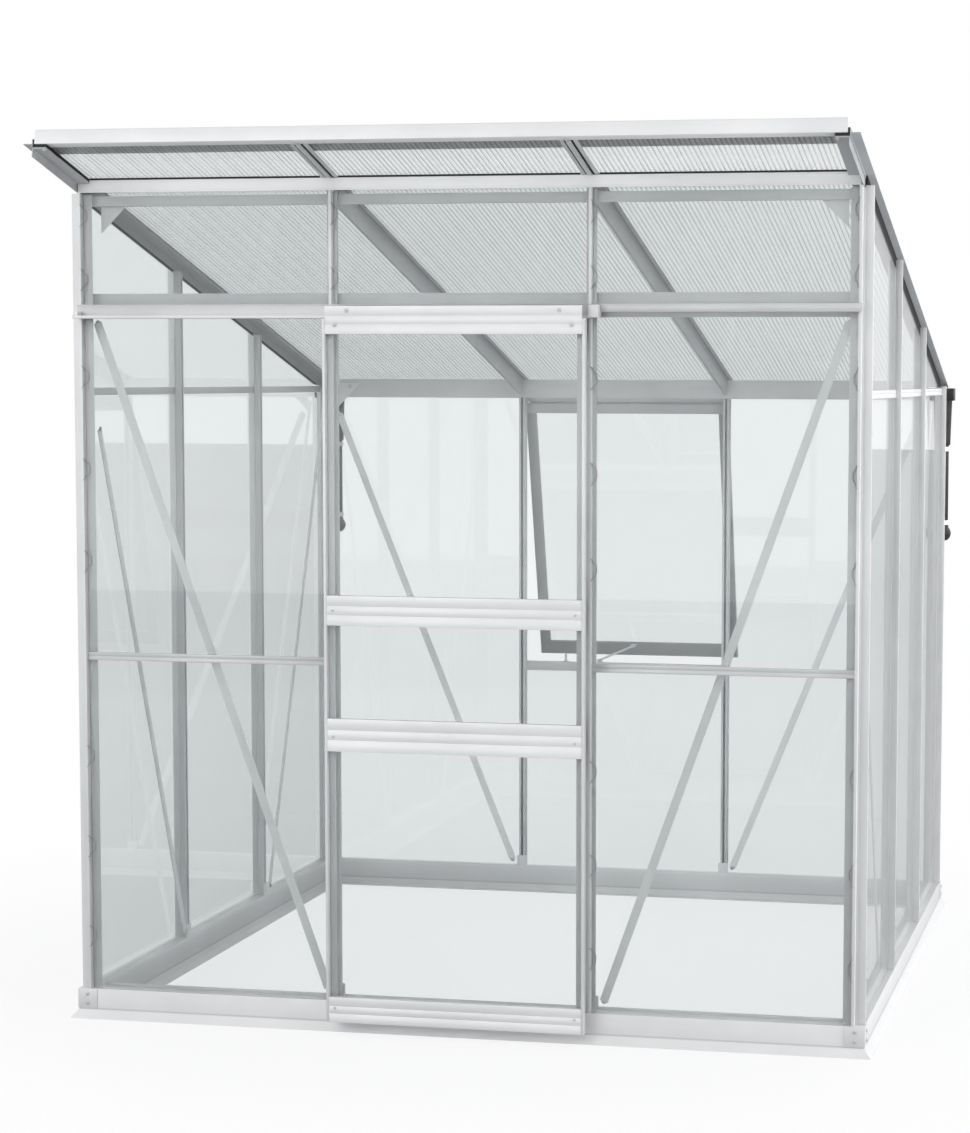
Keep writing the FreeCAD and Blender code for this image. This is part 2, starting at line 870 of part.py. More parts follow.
def revolved(points, base):
    """Turned piece: the outline of radius and height goes round Z."""
    corners = [V(r, 0, z) for r, z in points]
    face = Part.Face(Part.makePolygon(corners + corners[:1]))
    feature = doc.addObject("Part::Feature", "Turned")
    feature.Shape = face.revolve(V(), V(0, 0, 1), 360)
    feature.Placement = place(base)
    return feature


def pane(facing, centre, bottom, top, width=None):
    wide = width or CLEAR_BAY - 2 * size("glass_gap")
    spans = (wide, size("glass"), top - bottom)
    return wall_block(facing, centre - wide / 2, 1.0, bottom, spans, "Sizes.glass")


def glass_panes():
    sill = SILL + 1
    mid_top = size("mid_rail_top")
    mid_bottom = mid_top - size("mid_rail_height")
    toplights = [pane("front", x, size("transom_top") + 1, 1998) for x in (-BAY, 0, BAY)]
    lower = [pane("front", x, sill, mid_bottom - 1) for x in (-BAY, BAY)]
    upper = [pane("front", x, mid_top + 1, size("cover_bottom") - 1) for x in (-BAY, BAY)]
    node("glass_front", toplights + lower + upper)
    rail = size("side_rail_bottom")
    rail_top = rail + size("side_rail_height")
    drop = (1 - SEAL_BOTTOM) / math.cos(PITCH)
    for side, sign in SIDES.items():
        walls = [pane(side, y, sill, rail - 1) for y in (-BAY, 0, BAY)]
        gables = []
        for y in (-BAY, 0, BAY):
            half = CLEAR_BAY / 2 - size("glass_gap")
            outline = [
                (y - half, rail_top + 1),
                (y + half, rail_top + 1),
                (y + half, max(verge_z(y + half) - drop, rail_top + 3)),
                (y - half, verge_z(y - half) - drop),
            ]
            if verge_z(y + half) - drop < rail_top + 3:
                corner = -HALF + (size("verge_at_front") - drop - rail_top - 3) / math.tan(PITCH)
                outline[2:3] = [(y + half, rail_top + 3), (corner, rail_top + 3)]
            x = sign * (GLASS + 1 + size("glass") / 2)
            gables.append(prism("YZ_Plane", [outline], "Sizes.glass", place(V(x, 0, 0))))
        node(f"glass_{side}", walls + gables)
    eave = size("eave_rail_bottom")
    rear = [pane("rear", x, sill, eave - 1) for x in (-BAY, BAY)]
    rear.append(pane("rear", 0, sill, size("window_sill_top") - size("window_sill_height") - 1))
    node("glass_rear", rear)


def brace(facing, start, end, inset):
    """Flat diagonal bar from start to end, given as places along the wall and heights."""
    (a0, z0), (a1, z1) = start, end
    length = math.hypot(a1 - a0, z1 - z0)
    nx = -(z1 - z0) / length * size("brace_width") / 2
    nz = (a1 - a0) / length * size("brace_width") / 2
    outline = [(a0 + nx, z0 + nz), (a1 + nx, z1 + nz), (a1 - nx, z1 - nz), (a0 - nx, z0 - nz)]
    plane = "XZ_Plane" if facing in ("front", "rear") else "YZ_Plane"
    middle = wall_point(facing, 0, -inset - size("plate") / 2, 0)
    return prism(plane, [outline], "Sizes.plate", place(middle))


BRACE_INSET = CHANNEL + 1.0
BRACES = {
    "front": [((-902, 1678), (-338, 92)), ((902, 1678), (338, 92))],
    "rear": [((-880, 1440), (-338, 92)), ((880, 1440), (338, 92))],
    "left": [((-880, 1425), (-340, 92)), ((880, 1478), (340, 92))],
    "right": [((-880, 1425), (-340, 92)), ((880, 1478), (340, 92))],
}


def braces_and_bolts():
    bolts = corner_angles()
    side_braces = []
    for facing, pairs in BRACES.items():
        bars = [brace(facing, start, end, BRACE_INSET) for start, end in pairs]
        if facing in SIDES:
            side_braces += bars
        else:
            node(f"braces_{facing}", bars)
        for pair in pairs:
            for along, z in pair:
                inner = BRACE_INSET + size("plate")
                bolts.append(wall_bolt(facing, along, -inner, z, inward=True))
    node("braces_sides", side_braces)
    gussets = []
    for facing, top, inset in (("front", 1975.0, 36.1), ("rear", 1533.0, 19.2)):
        for sign in SIDES.values():
            corner = 896.0
            leg = 84.0
            outline = [
                (sign * corner, top),
                (sign * (corner - leg), top),
                (sign * corner, top - leg),
            ]
            middle = wall_point(facing, 0, -inset - size("plate") / 2, 0)
            gussets.append(prism("XZ_Plane", [outline], "Sizes.plate", place(middle)))
            inner = inset + size("plate")
            for along, z in ((corner - 12, top - 12), (corner - 50, top - 10), (corner - 10, top - 50)):
                bolts.append(wall_bolt(facing, sign * along, -inner, z, inward=True))
    brackets = []
    feet = [(facing, x) for facing in ("front", "rear") for x in FRONT_BARS.values()]
    feet += [(side, y) for side in SIDES for y in SIDE_BARS.values()]
    for facing, along in feet:
        out = -CHANNEL - 0.2
        plate = wall_block(facing, along - 15, out - WALL, SILL + 0.2, (30, WALL, 34))
        foot = wall_block(facing, along - 15, out - 11, SILL + 0.2, (30, 9.5, WALL))
        brackets.append(fuse([plate, foot]))
    node("gussets_and_foot_brackets", gussets + brackets)
    inwards = ROOF_TURN.multVec(V(0, 0, -1))
    tips = [(x - 3, 19.5, SHEET_BOTTOM - FIT - 1.6) for x in FRONT_BARS.values()]
    tips += [(sign * 908, END_START + 7, END_FLANGE_BOTTOM) for sign in SIDES.values()]
    for x, s, n in tips:
        bolts.append(rod(on_roof(x, s, n), inwards, "Sizes.bolt_radius", "Sizes.bolt_height"))
    node("frame_bolts", bolts)


def wall_bolt(facing, along, out, z, inward=False):
    """Bolt head on a wall piece; out is the face that it sits on."""
    sign = -1 if inward else 1
    axis = {"front": V(0, -1, 0), "rear": V(0, 1, 0), "left": V(-1, 0, 0), "right": V(1, 0, 0)}[facing]
    return rod(wall_point(facing, along, out, z), axis * sign, "Sizes.bolt_radius", "Sizes.bolt_height")


def corner_angles():
    """Angles round the base corners; gives back their screws."""
    angles = []
    screws = []
    reach = 49.0
    low = 22.5
    height = 48.0
    for side_x in (-1, 1):
        for side_y in (-1, 1):
            edge = HALF + WALL
            outline = [
                (edge, edge),
                (edge - reach, edge),
                (edge - reach, HALF + 0.1),
                (HALF + 0.1, HALF + 0.1),
                (HALF + 0.1, edge - reach),
                (edge, edge - reach),
            ]
            outline = [(side_x * x, side_y * y) for x, y in outline]
            angles.append(prism("XY_Plane", [outline], height, place(V(0, 0, low)), symmetric=False))
            for z in (low + 13, low + 36):
                along = HALF - 22
                screws.append(rod(V(side_x * along, side_y * edge, z), V(0, side_y, 0), 4.5, 2.5))
                screws.append(rod(V(side_x * edge, side_y * along, z), V(side_x, 0, 0), 4.5, 2.5))
    node("base_corner_angles", angles)
    return screws


CLIP_RADIUS = 1.1


def spring_clip(facing, along, z, hand):
    """Wire clip that bears on the pane and hooks behind the bar's nose."""
    base = wall_point(facing, along, 4.0 + CLIP_RADIUS + 0.3, z)
    about = turn(V(0, 0, 1), FACING[facing])
    near = BAR_HALF + CLIP_RADIUS + 0.2
    far = near + 8
    route = [
        V(hand * near, 0, 24),
        V(hand * far, 0, 18),
        V(hand * far, 0, -18),
        V(hand * near, 0, -24),
    ]
    path = Part.Wire([Part.LineSegment(a, b).toShape() for a, b in zip(route, route[1:])])
    ring = Part.Wire([Part.Circle(route[0], (route[1] - route[0]).normalize(), CLIP_RADIUS).toShape()])
    sweep = path.makePipeShell([ring], True, False, 1)
    feature = doc.addObject("Part::Feature", "Clip")
    feature.Shape = sweep
    feature.Placement = place(base, about)
    return feature


def glazing_clips():
    clips = []
    heights = [200.0, 420.0, 640.0, 1110.0, 1330.0, 1550.0]
    for z in heights:
        for x, hand in ((-SIDE_NOSE, -1), (-BAY / 2, 1), (BAY / 2, -1), (SIDE_NOSE, 1)):
            clips.append(spring_clip("front", x, z, hand))
    for z in (1780.0, 1930.0):
        for x, hand in ((-SIDE_NOSE, -1), (-BAY / 2, -1), (BAY / 2, -1), (SIDE_NOSE, 1)):
            clips.append(spring_clip("front", x, z, hand))
    for side, sign in SIDES.items():
        for z in (200.0, 640.0, 1060.0, 1400.0):
            for y in (-SIDE_NOSE, -BAY / 2, BAY / 2):
                clips.append(spring_clip(side, y, z, -sign))
    node("glazing_clips", clips)


# Sliding door.

DOOR_HALF = size("door_width") / 2
DOOR_FACE = -HALF - size("door_front")
DOOR_BACK = DOOR_FACE + size("door_depth")
FIN = 6.0


def door():
    bottom = size("door_bottom")
    stile_top = size("door_stile_top")
    for side, sign in SIDES.items():
        outline = [
            (DOOR_HALF, DOOR_FACE),
            (DOOR_HALF - FIN, DOOR_FACE),
            (DOOR_HALF - FIN, DOOR_BACK - WALL),
            (DOOR_HALF - 22, DOOR_BACK - WALL),
            (DOOR_HALF - 22, DOOR_BACK),
            (DOOR_HALF, DOOR_BACK),
        ]
        outline = [(sign * x, y) for x, y in outline]
        stile = prism("XY_Plane", [outline], stile_top - bottom, place(V(0, 0, bottom)), symmetric=False)
        node(f"door_stile_{side}", [stile])
    rail_length = 2 * (DOOR_HALF - FIN - FIT)
    rails = {
        "door_top_rail": [(1650.0, size("door_top_plate"))],
        "door_middle_rails": [(974.0, 1044.0), (678.0, 755.0)],
        "door_bottom_rail": [(bottom, 93.0)],
    }
    for name, spans in rails.items():
        pieces = [door_rail(low, high, rail_length) for low, high in spans]
        node(name, pieces)
    back = DOOR_FACE + 16.0
    spans = [(55.0, 716.0), (717.0, 1008.0), (1009.0, 1684.0)]
    panes = [
        block(V(-DOOR_HALF + FIN + 1, back, low), (2 * (DOOR_HALF - FIN - 1), 3.0, high - low))
        for low, high in spans
    ]
    node("door_glass", panes)
    door_rollers()
    guides = []
    for sign in SIDES.values():
        guides.append(block(V(sign * 240 - 25, DOOR_BACK + 0.1, 36), (50, 36.0, 22)))
    node("door_bottom_guides", guides)
    screws = []
    for x, z in ((-252, 1704), (252, 1704), (-281, 1671), (281, 1671)):
        screws.append(rod(V(x, DOOR_FACE - 0.1, z), V(0, -1, 0), 5, 2.2))
    for low in (974.0, 678.0, bottom):
        for sign in SIDES.values():
            screws.append(rod(V(sign * 290, DOOR_FACE - 0.1, low + 35), V(0, -1, 0), 3.2, 1.4))
    node("door_screws", screws)


def door_rail(low, high, length):
    """Channel rail with two shallow grooves along its face."""
    face = DOOR_FACE
    third = (high - low) / 3
    outline = [
        (face, low),
        (face, low + third),
        (face + 0.8, low + third + 1),
        (face, low + third + 2),
        (face, high - third - 2),
        (face + 0.8, high - third - 1),
        (face, high - third),
        (face, high),
        (face + 15, high),
        (face + 15, high - 1.8),
        (face + 2.2, high - 1.8),
        (face + 2.2, low + 1.8),
        (face + 15, low + 1.8),
        (face + 15, low),
    ]
    return prism("YZ_Plane", [outline], length, place(V()))


ROLLER_X = 250.0


def door_rollers():
    """Grooved nylon wheels on pins that stand behind the top rail."""
    radius = size("roller_radius")
    height = size("track_bottom") + WALL + radius + size("roller_gap")
    for side, sign in SIDES.items():
        x = sign * ROLLER_X
        disc = rod(V(x, -HALF - 30, height), V(0, 1, 0), "Sizes.roller_radius", 10)
        bore = rod(V(x, -HALF - 35, height), V(0, 1, 0), "Sizes.roller_bore", 20)
        node(f"door_roller_{side}", [cut(disc, bore)])
    pins = []
    for sign in SIDES.values():
        x = sign * ROLLER_X
        start = DOOR_FACE + 2.4
        shaft = rod(V(x, start, height), V(0, 1, 0), "Sizes.axle_radius", -HALF - 17 - start)
        washer = rod(V(x, start, height), V(0, 1, 0), 8, -HALF - 36.5 - start)
        head = rod(V(x, -HALF - 19.5, height), V(0, 1, 0), 5, 2.5)
        pins.append(fuse([shaft, washer, head]))
    node("door_roller_pins", pins)


# Rear window, drawn closed and turned about its hinge line by its rest angle.

HINGE = V(0, HALF + size("hinge_out"), size("hinge_height"))
WINDOW_TURN = turn(V(1, 0, 0), size("window_open"))


def swing(feature):
    """Turns a closed window piece about the hinge to its rest angle."""
    swung = FreeCAD.Placement(V(), WINDOW_TURN, HINGE)
    feature.Placement = swung.multiply(feature.Placement)
    return feature


def window():
    half = size("window_width") / 2
    depth = size("window_depth")
    inner = HALF + 1.0
    top = HINGE.z - 7
    bottom = top - size("window_height")
    hook_radius = size("hinge_radius") + 0.06
    hook_outer = 5.4
    frame = 30.0
    # Head rail with the hook that turns on the hinge bar.
    ring = rod(V(-half + 14, HINGE.y, HINGE.z), V(1, 0, 0), hook_outer, 2 * half - 28)
    ring_bore = rod(V(-half, HINGE.y, HINGE.z), V(1, 0, 0), hook_radius, 2 * half)
    reach = 14.0
    low_angle = math.radians(180 + 26)
    high_angle = math.radians(180 - 72)
    mouth_outline = [
        (0, 0),
        (reach * math.cos(low_angle), reach * math.sin(low_angle)),
        (-reach * 1.4, 0),
        (reach * math.cos(high_angle) * 1.2, reach * math.sin(high_angle) * 1.2),
    ]
    mouth = prism("YZ_Plane", [mouth_outline], 2 * half, place(HINGE))
    hook = cut(cut(ring, ring_bore), mouth)
    plate = block(V(-half, inner, top - frame), (2 * half, depth, frame))
    neck = block(V(-half + 14, HINGE.y - 1, top - 1), (2 * half - 28, 4.5, 4.2))
    groove = block(V(-half + 20, inner + 3, top - frame - 1), (2 * half - 40, 4, 14))
    head = swing(cut(fuse([cut(fuse([plate, neck]), ring_bore), hook]), groove))
    node("window_head_rail", [head])
    stiles = []
    for sign in SIDES.values():
        low_x = -half if sign < 0 else half - frame
        height = size("window_height") - frame - 40
        post = block(V(low_x, inner, bottom + 40), (frame, depth, height))
        rebate_x = low_x + frame - 12 if sign < 0 else low_x - 1
        rebate = block(V(rebate_x, inner + 3, bottom), (13, 4, height + 80))
        stiles.append(swing(cut(post, rebate)))
    rail = block(V(-half, inner, bottom), (2 * half, depth, 39.9))
    rebate = block(V(-half + 20, inner + 3, bottom + 27), (2 * half - 40, 4, 20))
    node("window_stiles_and_bottom_rail", stiles + [swing(cut(rail, rebate))])
    pane_height = top - frame + 12 - (bottom + 28)
    glass = block(V(-half + 20.5, inner + 3.5, bottom + 28), (2 * half - 41, 3, pane_height))
    node("window_glass", [swing(glass)])
    bar = rod(V(-half + 4, HINGE.y, HINGE.z), V(1, 0, 0), "Sizes.hinge_radius", 2 * half - 8)
    web = block(V(-half + 4, HALF + 0.2, HINGE.z - 0.8), (2 * half - 8, HINGE.y - HALF - 1, 1.6))
    strap = block(V(-half + 4, HALF + 0.2, HINGE.z - 0.8), (2 * half - 8, 1.4, 40))
    node("window_hinge_bar", [fuse([bar, web, strap])])
    window_stay(inner, bottom)


STAY_X = -15.0
PEG_X = -75.0


def window_stay(inner, bottom):
    """Stay arm pivoted behind the bottom rail; its eye rests over a peg on the sill rail."""
    sill_top = size("window_sill_top")
    swung = FreeCAD.Placement(V(), WINDOW_TURN, HINGE)
    near = swung.multVec(V(STAY_X, inner - 16, sill_top + 11))
    far = V(PEG_X, GLASS + 8, sill_top + 7.6)
    # The arm's own frame: X along the arm, Z square to its flat side.
    along = (far - near).normalize()
    across = V(0, 0, 1).cross(along).normalize()
    normal = along.cross(across)
    arm_turn = FreeCAD.Rotation(along, across, normal, "XYZ")
    arm_place = place(near, arm_turn)
    length = (far - near).Length

    def in_arm(point):
        return arm_place.multVec(point)

    thick = 3.0
    arm = block(in_arm(V(0, -5, -thick / 2)), (length, 10, thick), arm_turn)
    near_eye = rod(in_arm(V(0, 0, -thick / 2)), normal, 9, thick)
    far_eye = rod(in_arm(V(length, 0, -thick / 2)), normal, 9, thick)
    holes = fuse([
        rod(in_arm(V(0, 0, -8)), normal, 3.05, 16),
        rod(in_arm(V(length, 0, -8)), normal, 4.5, 16),
    ])
    node("window_stay_arm", [cut(fuse([arm, near_eye, far_eye]), holes)])
    pin = rod(in_arm(V(0, 0, -4)), normal, 3.0, 9)
    pin_head = rod(in_arm(V(0, 0, -4)), normal, 6, 2.2)
    tongue = block(in_arm(V(7, -7, 1.8)), (14, 34, 3), arm_turn.multiply(turn(V(0, 0, 1), 90)))
    holder = fuse([pin, pin_head, tongue])
    node("window_stay_bracket", [cut(holder, window_space(inner, bottom))])
    peg_y = GLASS + 8
    low_peg = rod(V(PEG_X, peg_y, sill_top + 0.1), V(0, 0, 1), 7, 5.0)
    tall_peg = fuse([
        rod(V(-180, peg_y, sill_top + 0.1), V(0, 0, 1), 3.5, 24),
        rod(V(-180, peg_y, sill_top + 0.1), V(0, 0, 1), 8, 3),
    ])
    node("stay_pegs", [low_peg, tall_peg])


def window_space(inner, bottom):
    """Space behind the inner face of the closed window, turned to the rest angle."""
    half = size("window_width") / 2
    return swing(block(V(-half, inner, bottom - 60), (2 * half, 80, 200)))


space = roof_space()
base_sills()
corner_posts(space)
wall_bars(space)
front_rails()
door_track()
side_and_rear_rails()
roof_frame()
seals()
rainwater()
glass_panes()
braces_and_bolts()
glazing_clips()
door()
window()
doc.recompute()

for item in doc.Objects:
    if "Invalid" in item.State or "Error" in item.State:
        raise RuntimeError(f"{item.Label} failed: {item.State}")
os.makedirs("parts", exist_ok=True)
for whole in NODES:
    if whole.Shape.isNull() or not whole.Shape.isValid():
        raise RuntimeError(f"{whole.Label} has no valid shape")
    whole.Shape.exportStep(f"parts/{whole.Label}.step")
    print(whole.Label, len(whole.Shape.Solids), round(whole.Shape.Volume / 1000, 1))
print(len(NODES), "nodes")
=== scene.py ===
import json
import math

import bpy
from mathutils import Matrix, Vector


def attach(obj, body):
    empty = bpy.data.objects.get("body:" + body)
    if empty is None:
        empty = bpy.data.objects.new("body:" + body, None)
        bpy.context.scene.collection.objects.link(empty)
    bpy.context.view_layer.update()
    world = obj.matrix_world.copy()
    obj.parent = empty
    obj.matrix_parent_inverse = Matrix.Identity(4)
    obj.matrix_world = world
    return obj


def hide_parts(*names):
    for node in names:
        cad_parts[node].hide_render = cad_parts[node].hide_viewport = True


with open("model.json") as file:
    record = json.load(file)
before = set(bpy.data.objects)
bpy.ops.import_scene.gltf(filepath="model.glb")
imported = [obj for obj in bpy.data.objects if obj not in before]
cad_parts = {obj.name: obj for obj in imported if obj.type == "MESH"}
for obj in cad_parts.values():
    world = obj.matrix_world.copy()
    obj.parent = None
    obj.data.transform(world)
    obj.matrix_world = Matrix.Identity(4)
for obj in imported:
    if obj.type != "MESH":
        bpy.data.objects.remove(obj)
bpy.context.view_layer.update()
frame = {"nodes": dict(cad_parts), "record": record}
nodes = frame["nodes"]
bpy.ops.object.select_all(action="DESELECT")

X, Y, Z = range(3)


# Roof frame in metres: x across, y down the slope from the front tip, z out of the roof

ROOF_PITCH = math.radians(14)
ROOF_OVERHANG = 0.25
ROOF_OVER_FRONT_WALL = 2.0186
ROOF_TIP = Vector((0, -1.207, ROOF_OVER_FRONT_WALL + ROOF_OVERHANG * math.tan(ROOF_PITCH)))
SLOPE_TURN = Matrix.Rotation(-ROOF_PITCH, 4, "X")
ROOF_NORMAL = SLOPE_TURN @ Vector((0, 0, 1))
ON_ROOF = Matrix.Translation(ROOF_TIP) @ SLOPE_TURN
BETWEEN_SKINS = ROOF_TIP.dot(ROOF_NORMAL) + 0.002


# Roof sheets in millimetres, in the roof frame

SHEET_SIDES = ((-934.2, -320.6), (-299.4, 299.4), (320.6, 934.2))
SHEET_ENDS = (1.0, 2265.0)
SKINS = ((5.2, 6.0), (-2.0, -1.2))
SKIN_EDGE = 0.2
RIB_ENDS = (1.2, 2264.8)
RIB_HEIGHT = (-1.15, 5.15)
RIB_THICKNESS = 0.8
RIB_SPACING = 11.5
RIB_START = 0.9
RIB_CLEARANCE = (2, 4)
SIDE_RIB_INSET = 0.05


# Shader building

def shader(name):
    """New material with its node tree and its Principled BSDF."""
    material = bpy.data.materials.new(name)
    material.use_nodes = True
    tree = material.node_tree
    return material, tree, tree.nodes["Principled BSDF"]


def group_tree(name, inputs, outputs):
    """New node group with its named inputs and outputs."""
    tree = bpy.data.node_groups.new(name, "ShaderNodeTree")
    for label, kind, default in inputs:
        socket = tree.interface.new_socket(label, in_out="INPUT", socket_type=kind)
        if default is not None:
            socket.default_value = default
    for label, kind in outputs:
        tree.interface.new_socket(label, in_out="OUTPUT", socket_type=kind)
    entry = tree.nodes.new("NodeGroupInput")
    leave = tree.nodes.new("NodeGroupOutput")
    return tree, entry, leave


def plug(tree, socket, value):
    """Links a socket to another, or sets it where the value is a plain number or colour."""
    if hasattr(value, "is_linked"):
        tree.links.new(value, socket)
    else:
        socket.default_value = value


def feed(tree, node, **inputs):
    """Plugs a node's inputs by their names, with _ for a space."""
    for label, value in inputs.items():
        plug(tree, node.inputs[label.replace("_", " ")], value)


def add(tree, kind, settings=None, **inputs):
    """New node with its settings made and its inputs fed."""
    made = tree.nodes.new(kind)
    for key, value in (settings or {}).items():
        setattr(made, key, value)
    feed(tree, made, **inputs)
    return made


def maths(tree, operation, *values):
    """Math node with its operands given in order, as sockets or numbers."""
    made = add(tree, "ShaderNodeMath", {"operation": operation})
    for socket, value in zip(made.inputs, values):
        plug(tree, socket, value)
    return made.outputs[0]


def ranged(tree, value, **limits):
    return add(tree, "ShaderNodeMapRange", Value=value, **limits).outputs["Result"]


def noise(tree, place, scale, detail, roughness=0.5):
    made = add(tree, "ShaderNodeTexNoise", Vector=place,
               Scale=scale, Detail=detail, Roughness=roughness)
    return made.outputs["Fac"]


def ramp(tree, factor, *stops):
    """Colours that run through the stops, each a position and a colour."""
    made = add(tree, "ShaderNodeValToRGB", Fac=factor)
    points = made.color_ramp.elements
    for position, colour in stops[1:-1]:
        points.new(position)
    for point, (position, colour) in zip(points, stops):
        point.position = position
        point.color = (*colour, 1)
    return made.outputs["Color"]


def blend(tree, factor, first, second, kind="MIX"):
    """Mix of two colours, each a socket or red, green and blue."""
    made = add(tree, "ShaderNodeMix", {"data_type": "RGBA", "blend_type": kind}, Factor=factor)
    colour_a, colour_b, result = made.inputs[6], made.inputs[7], made.outputs[2]
    for socket, value in ((colour_a, first), (colour_b, second)):
        plug(tree, socket, value if hasattr(value, "is_linked") else (*value, 1))
    return result


def on_object(tree):
    return add(tree, "ShaderNodeTexCoord").outputs["Object"]


def axes(tree, place):
    return add(tree, "ShaderNodeSeparateXYZ", Vector=place).outputs


# Finishes

def drawn_metal():
    """Long fine die lines, faint bands and dust of an aluminium extrusion."""
    tree, entry, leave = group_tree(
        "drawn metal",
        [("Run", "NodeSocketVector", None), ("Place", "NodeSocketVector", None),
         ("Bright", "NodeSocketColor", (0.8, 0.8, 0.8, 1)),
         ("Dull", "NodeSocketColor", (0.6, 0.6, 0.6, 1)),
         ("Smooth", "NodeSocketFloat", 0.3), ("Rough", "NodeSocketFloat", 0.5)],
        [("Color", "NodeSocketColor"), ("Roughness", "NodeSocketFloat"),
         ("Height", "NodeSocketFloat")])
    given = entry.outputs
    lines = noise(tree, given["Run"], scale=1.0, detail=4.0, roughness=0.65)
    cloud = noise(tree, given["Place"], scale=3.2, detail=5.0, roughness=0.6)
    specks = noise(tree, given["Place"], scale=190.0, detail=2.0)
    bands = ranged(tree, cloud, From_Min=0.35, From_Max=0.7)
    wear = maths(tree, "MULTIPLY_ADD", lines, 0.55, bands)
    dulled = maths(tree, "MULTIPLY", wear, 0.65)
    feed(tree, leave,
         Color=blend(tree, dulled, given["Bright"], given["Dull"]),
         Roughness=ranged(tree, wear, From_Max=1.2, To_Min=given["Smooth"],
                          To_Max=given["Rough"]),
         Height=maths(tree, "MULTIPLY_ADD", specks, 0.3, lines))
    return tree


DRAWN = drawn_metal()
MILL = (0.725, 0.73, 0.735)
MILL_DULL = (0.605, 0.61, 0.62)
LINES_ACROSS = 260.0
LINES_ALONG = 1.4
SILL_TOP = 0.071
SILL_CREASE = 0.0215


def aluminium(name, along, bright=MILL, dull=MILL_DULL, metallic=0.25, pitch=0.0):
    """Drawn metal with its die lines along one axis, or down a pitch about x."""
    material, tree, surface = shader(name)
    place = on_object(tree)
    scale = [LINES_ACROSS] * 3
    scale[along] = LINES_ALONG
    run = add(tree, "ShaderNodeMapping", Vector=place, Rotation=(pitch, 0, 0), Scale=scale)
    drawn = add(tree, "ShaderNodeGroup", {"node_tree": DRAWN}, Run=run.outputs["Vector"],
                Place=place, Bright=(*bright, 1), Dull=(*dull, 1), Smooth=0.34, Rough=0.48)
    bump = add(tree, "ShaderNodeBump", Strength=0.06, Distance=0.0006,
               Height=drawn.outputs["Height"])
    feed(tree, surface, Base_Color=drawn.outputs["Color"], Metallic=metallic,
         Roughness=drawn.outputs["Roughness"], Normal=bump.outputs["Normal"])
    return material


def sill_metal(name, along):
    """Base profile with painted light and shade: a painted highlight on the toe, a painted
    shadow line in the crease above it, and a darker face that lightens towards the top.
    """
    material = aluminium(name, along, (0.80, 0.80, 0.805), (0.69, 0.695, 0.70))
    tree = material.node_tree
    surface = tree.nodes["Principled BSDF"]
    height = maths(tree, "MULTIPLY", axes(tree, on_object(tree))["Z"], 1 / SILL_TOP)
    crease = SILL_CREASE / SILL_TOP
    # Painted light and shade up the profile: bright toe, shadow line in the crease, darker
    # face, lighter top.
    tones = ((0.0, 0.95), (crease - 0.035, 0.95), (crease - 0.005, 0.66), (crease + 0.02, 0.66),
             (crease + 0.05, 0.82), (0.96, 0.90), (1.0, 0.95))
    painted_light_and_shade = ramp(tree, height, *((position, (tone, tone, tone)) for position, tone in tones))
    metal = surface.inputs["Base Color"].links[0].from_socket
    feed(tree, surface, Base_Color=blend(tree, 1.0, metal, painted_light_and_shade, "MULTIPLY"))
    return material


def glass(name, tone, ior, haze):
    """Float glass: a faint grey-green tint, a film of dust, and a haze at flat angles."""
    material, tree, surface = shader(name)
    film = noise(tree, on_object(tree), scale=2.3, detail=3.0)
    tint = ramp(tree, film, (0.3, (tone - 0.022, tone, tone + 0.004)),
                (0.75, (tone - 0.006, tone + 0.014, tone + 0.017)))
    feed(tree, surface, Base_Color=tint, Roughness=ranged(tree, film, To_Min=0.0, To_Max=0.02),
         Transmission_Weight=1.0, IOR=ior, Sheen_Weight=haze, Sheen_Roughness=0.3)
    return material


def sheet_plastic():
    """Clear twin-wall sheet with a film of dust.

    Beside each rib the lower skin gets a painted shadow line and a painted highlight line, in
    four strengths.
    """
    material, tree, surface = shader("twin wall roof sheet")
    place = on_object(tree)
    plain, dark, bright = (0.962, 0.972, 0.975), (0.74, 0.755, 0.76), (1.0, 1.0, 1.0)
    ribs = maths(tree, "MULTIPLY", axes(tree, place)["X"], 1000 / RIB_SPACING)
    # Painted shade and highlight of the ribs, repeated across the sheet.
    lines = ramp(tree, maths(tree, "FRACT", ribs), (0.0, plain), (0.04, dark), (0.20, dark),
                 (0.30, bright), (0.42, bright), (0.55, plain), (1.0, plain))
    one_of_four = maths(tree, "FLOORED_MODULO", maths(tree, "FLOOR", ribs), 4.0)
    chance = add(tree, "ShaderNodeTexWhiteNoise", {"noise_dimensions": "1D"}, W=one_of_four)
    height = add(tree, "ShaderNodeVectorMath", {"operation": "DOT_PRODUCT"}, Vector=place)
    plug(tree, height.inputs[1], ROOF_NORMAL)
    lower_skin = maths(tree, "LESS_THAN", height.outputs["Value"], BETWEEN_SKINS)
    strength = maths(tree, "MULTIPLY_ADD", chance.outputs["Value"], 0.6, 0.4)
    rib_light_and_shade = blend(tree, maths(tree, "MULTIPLY", strength, lower_skin), plain, lines)
    film = noise(tree, place, scale=6.0, detail=4.0)
    dust = maths(tree, "MULTIPLY", film, 0.3)
    feed(tree, surface, Base_Color=blend(tree, dust, rib_light_and_shade, (0.92, 0.93, 0.92), "MULTIPLY"),
         Roughness=ranged(tree, film, To_Min=0.03, To_Max=0.12),
         Transmission_Weight=0.94, IOR=1.05)
    return material


def moulded(name, low, high, smooth, rough, fineness=70.0):
    """Moulded plastic or rubber with a fine grain between two colours."""
    material, tree, surface = shader(name)
    grain = noise(tree, on_object(tree), scale=fineness, detail=4.0)
    bump = add(tree, "ShaderNodeBump", Strength=0.12, Distance=0.0006, Height=grain)
    feed(tree, surface, Base_Color=ramp(tree, grain, (0.3, low), (0.72, high)),
         Roughness=ranged(tree, grain, To_Min=smooth, To_Max=rough),
         Normal=bump.outputs["Normal"])
    return material


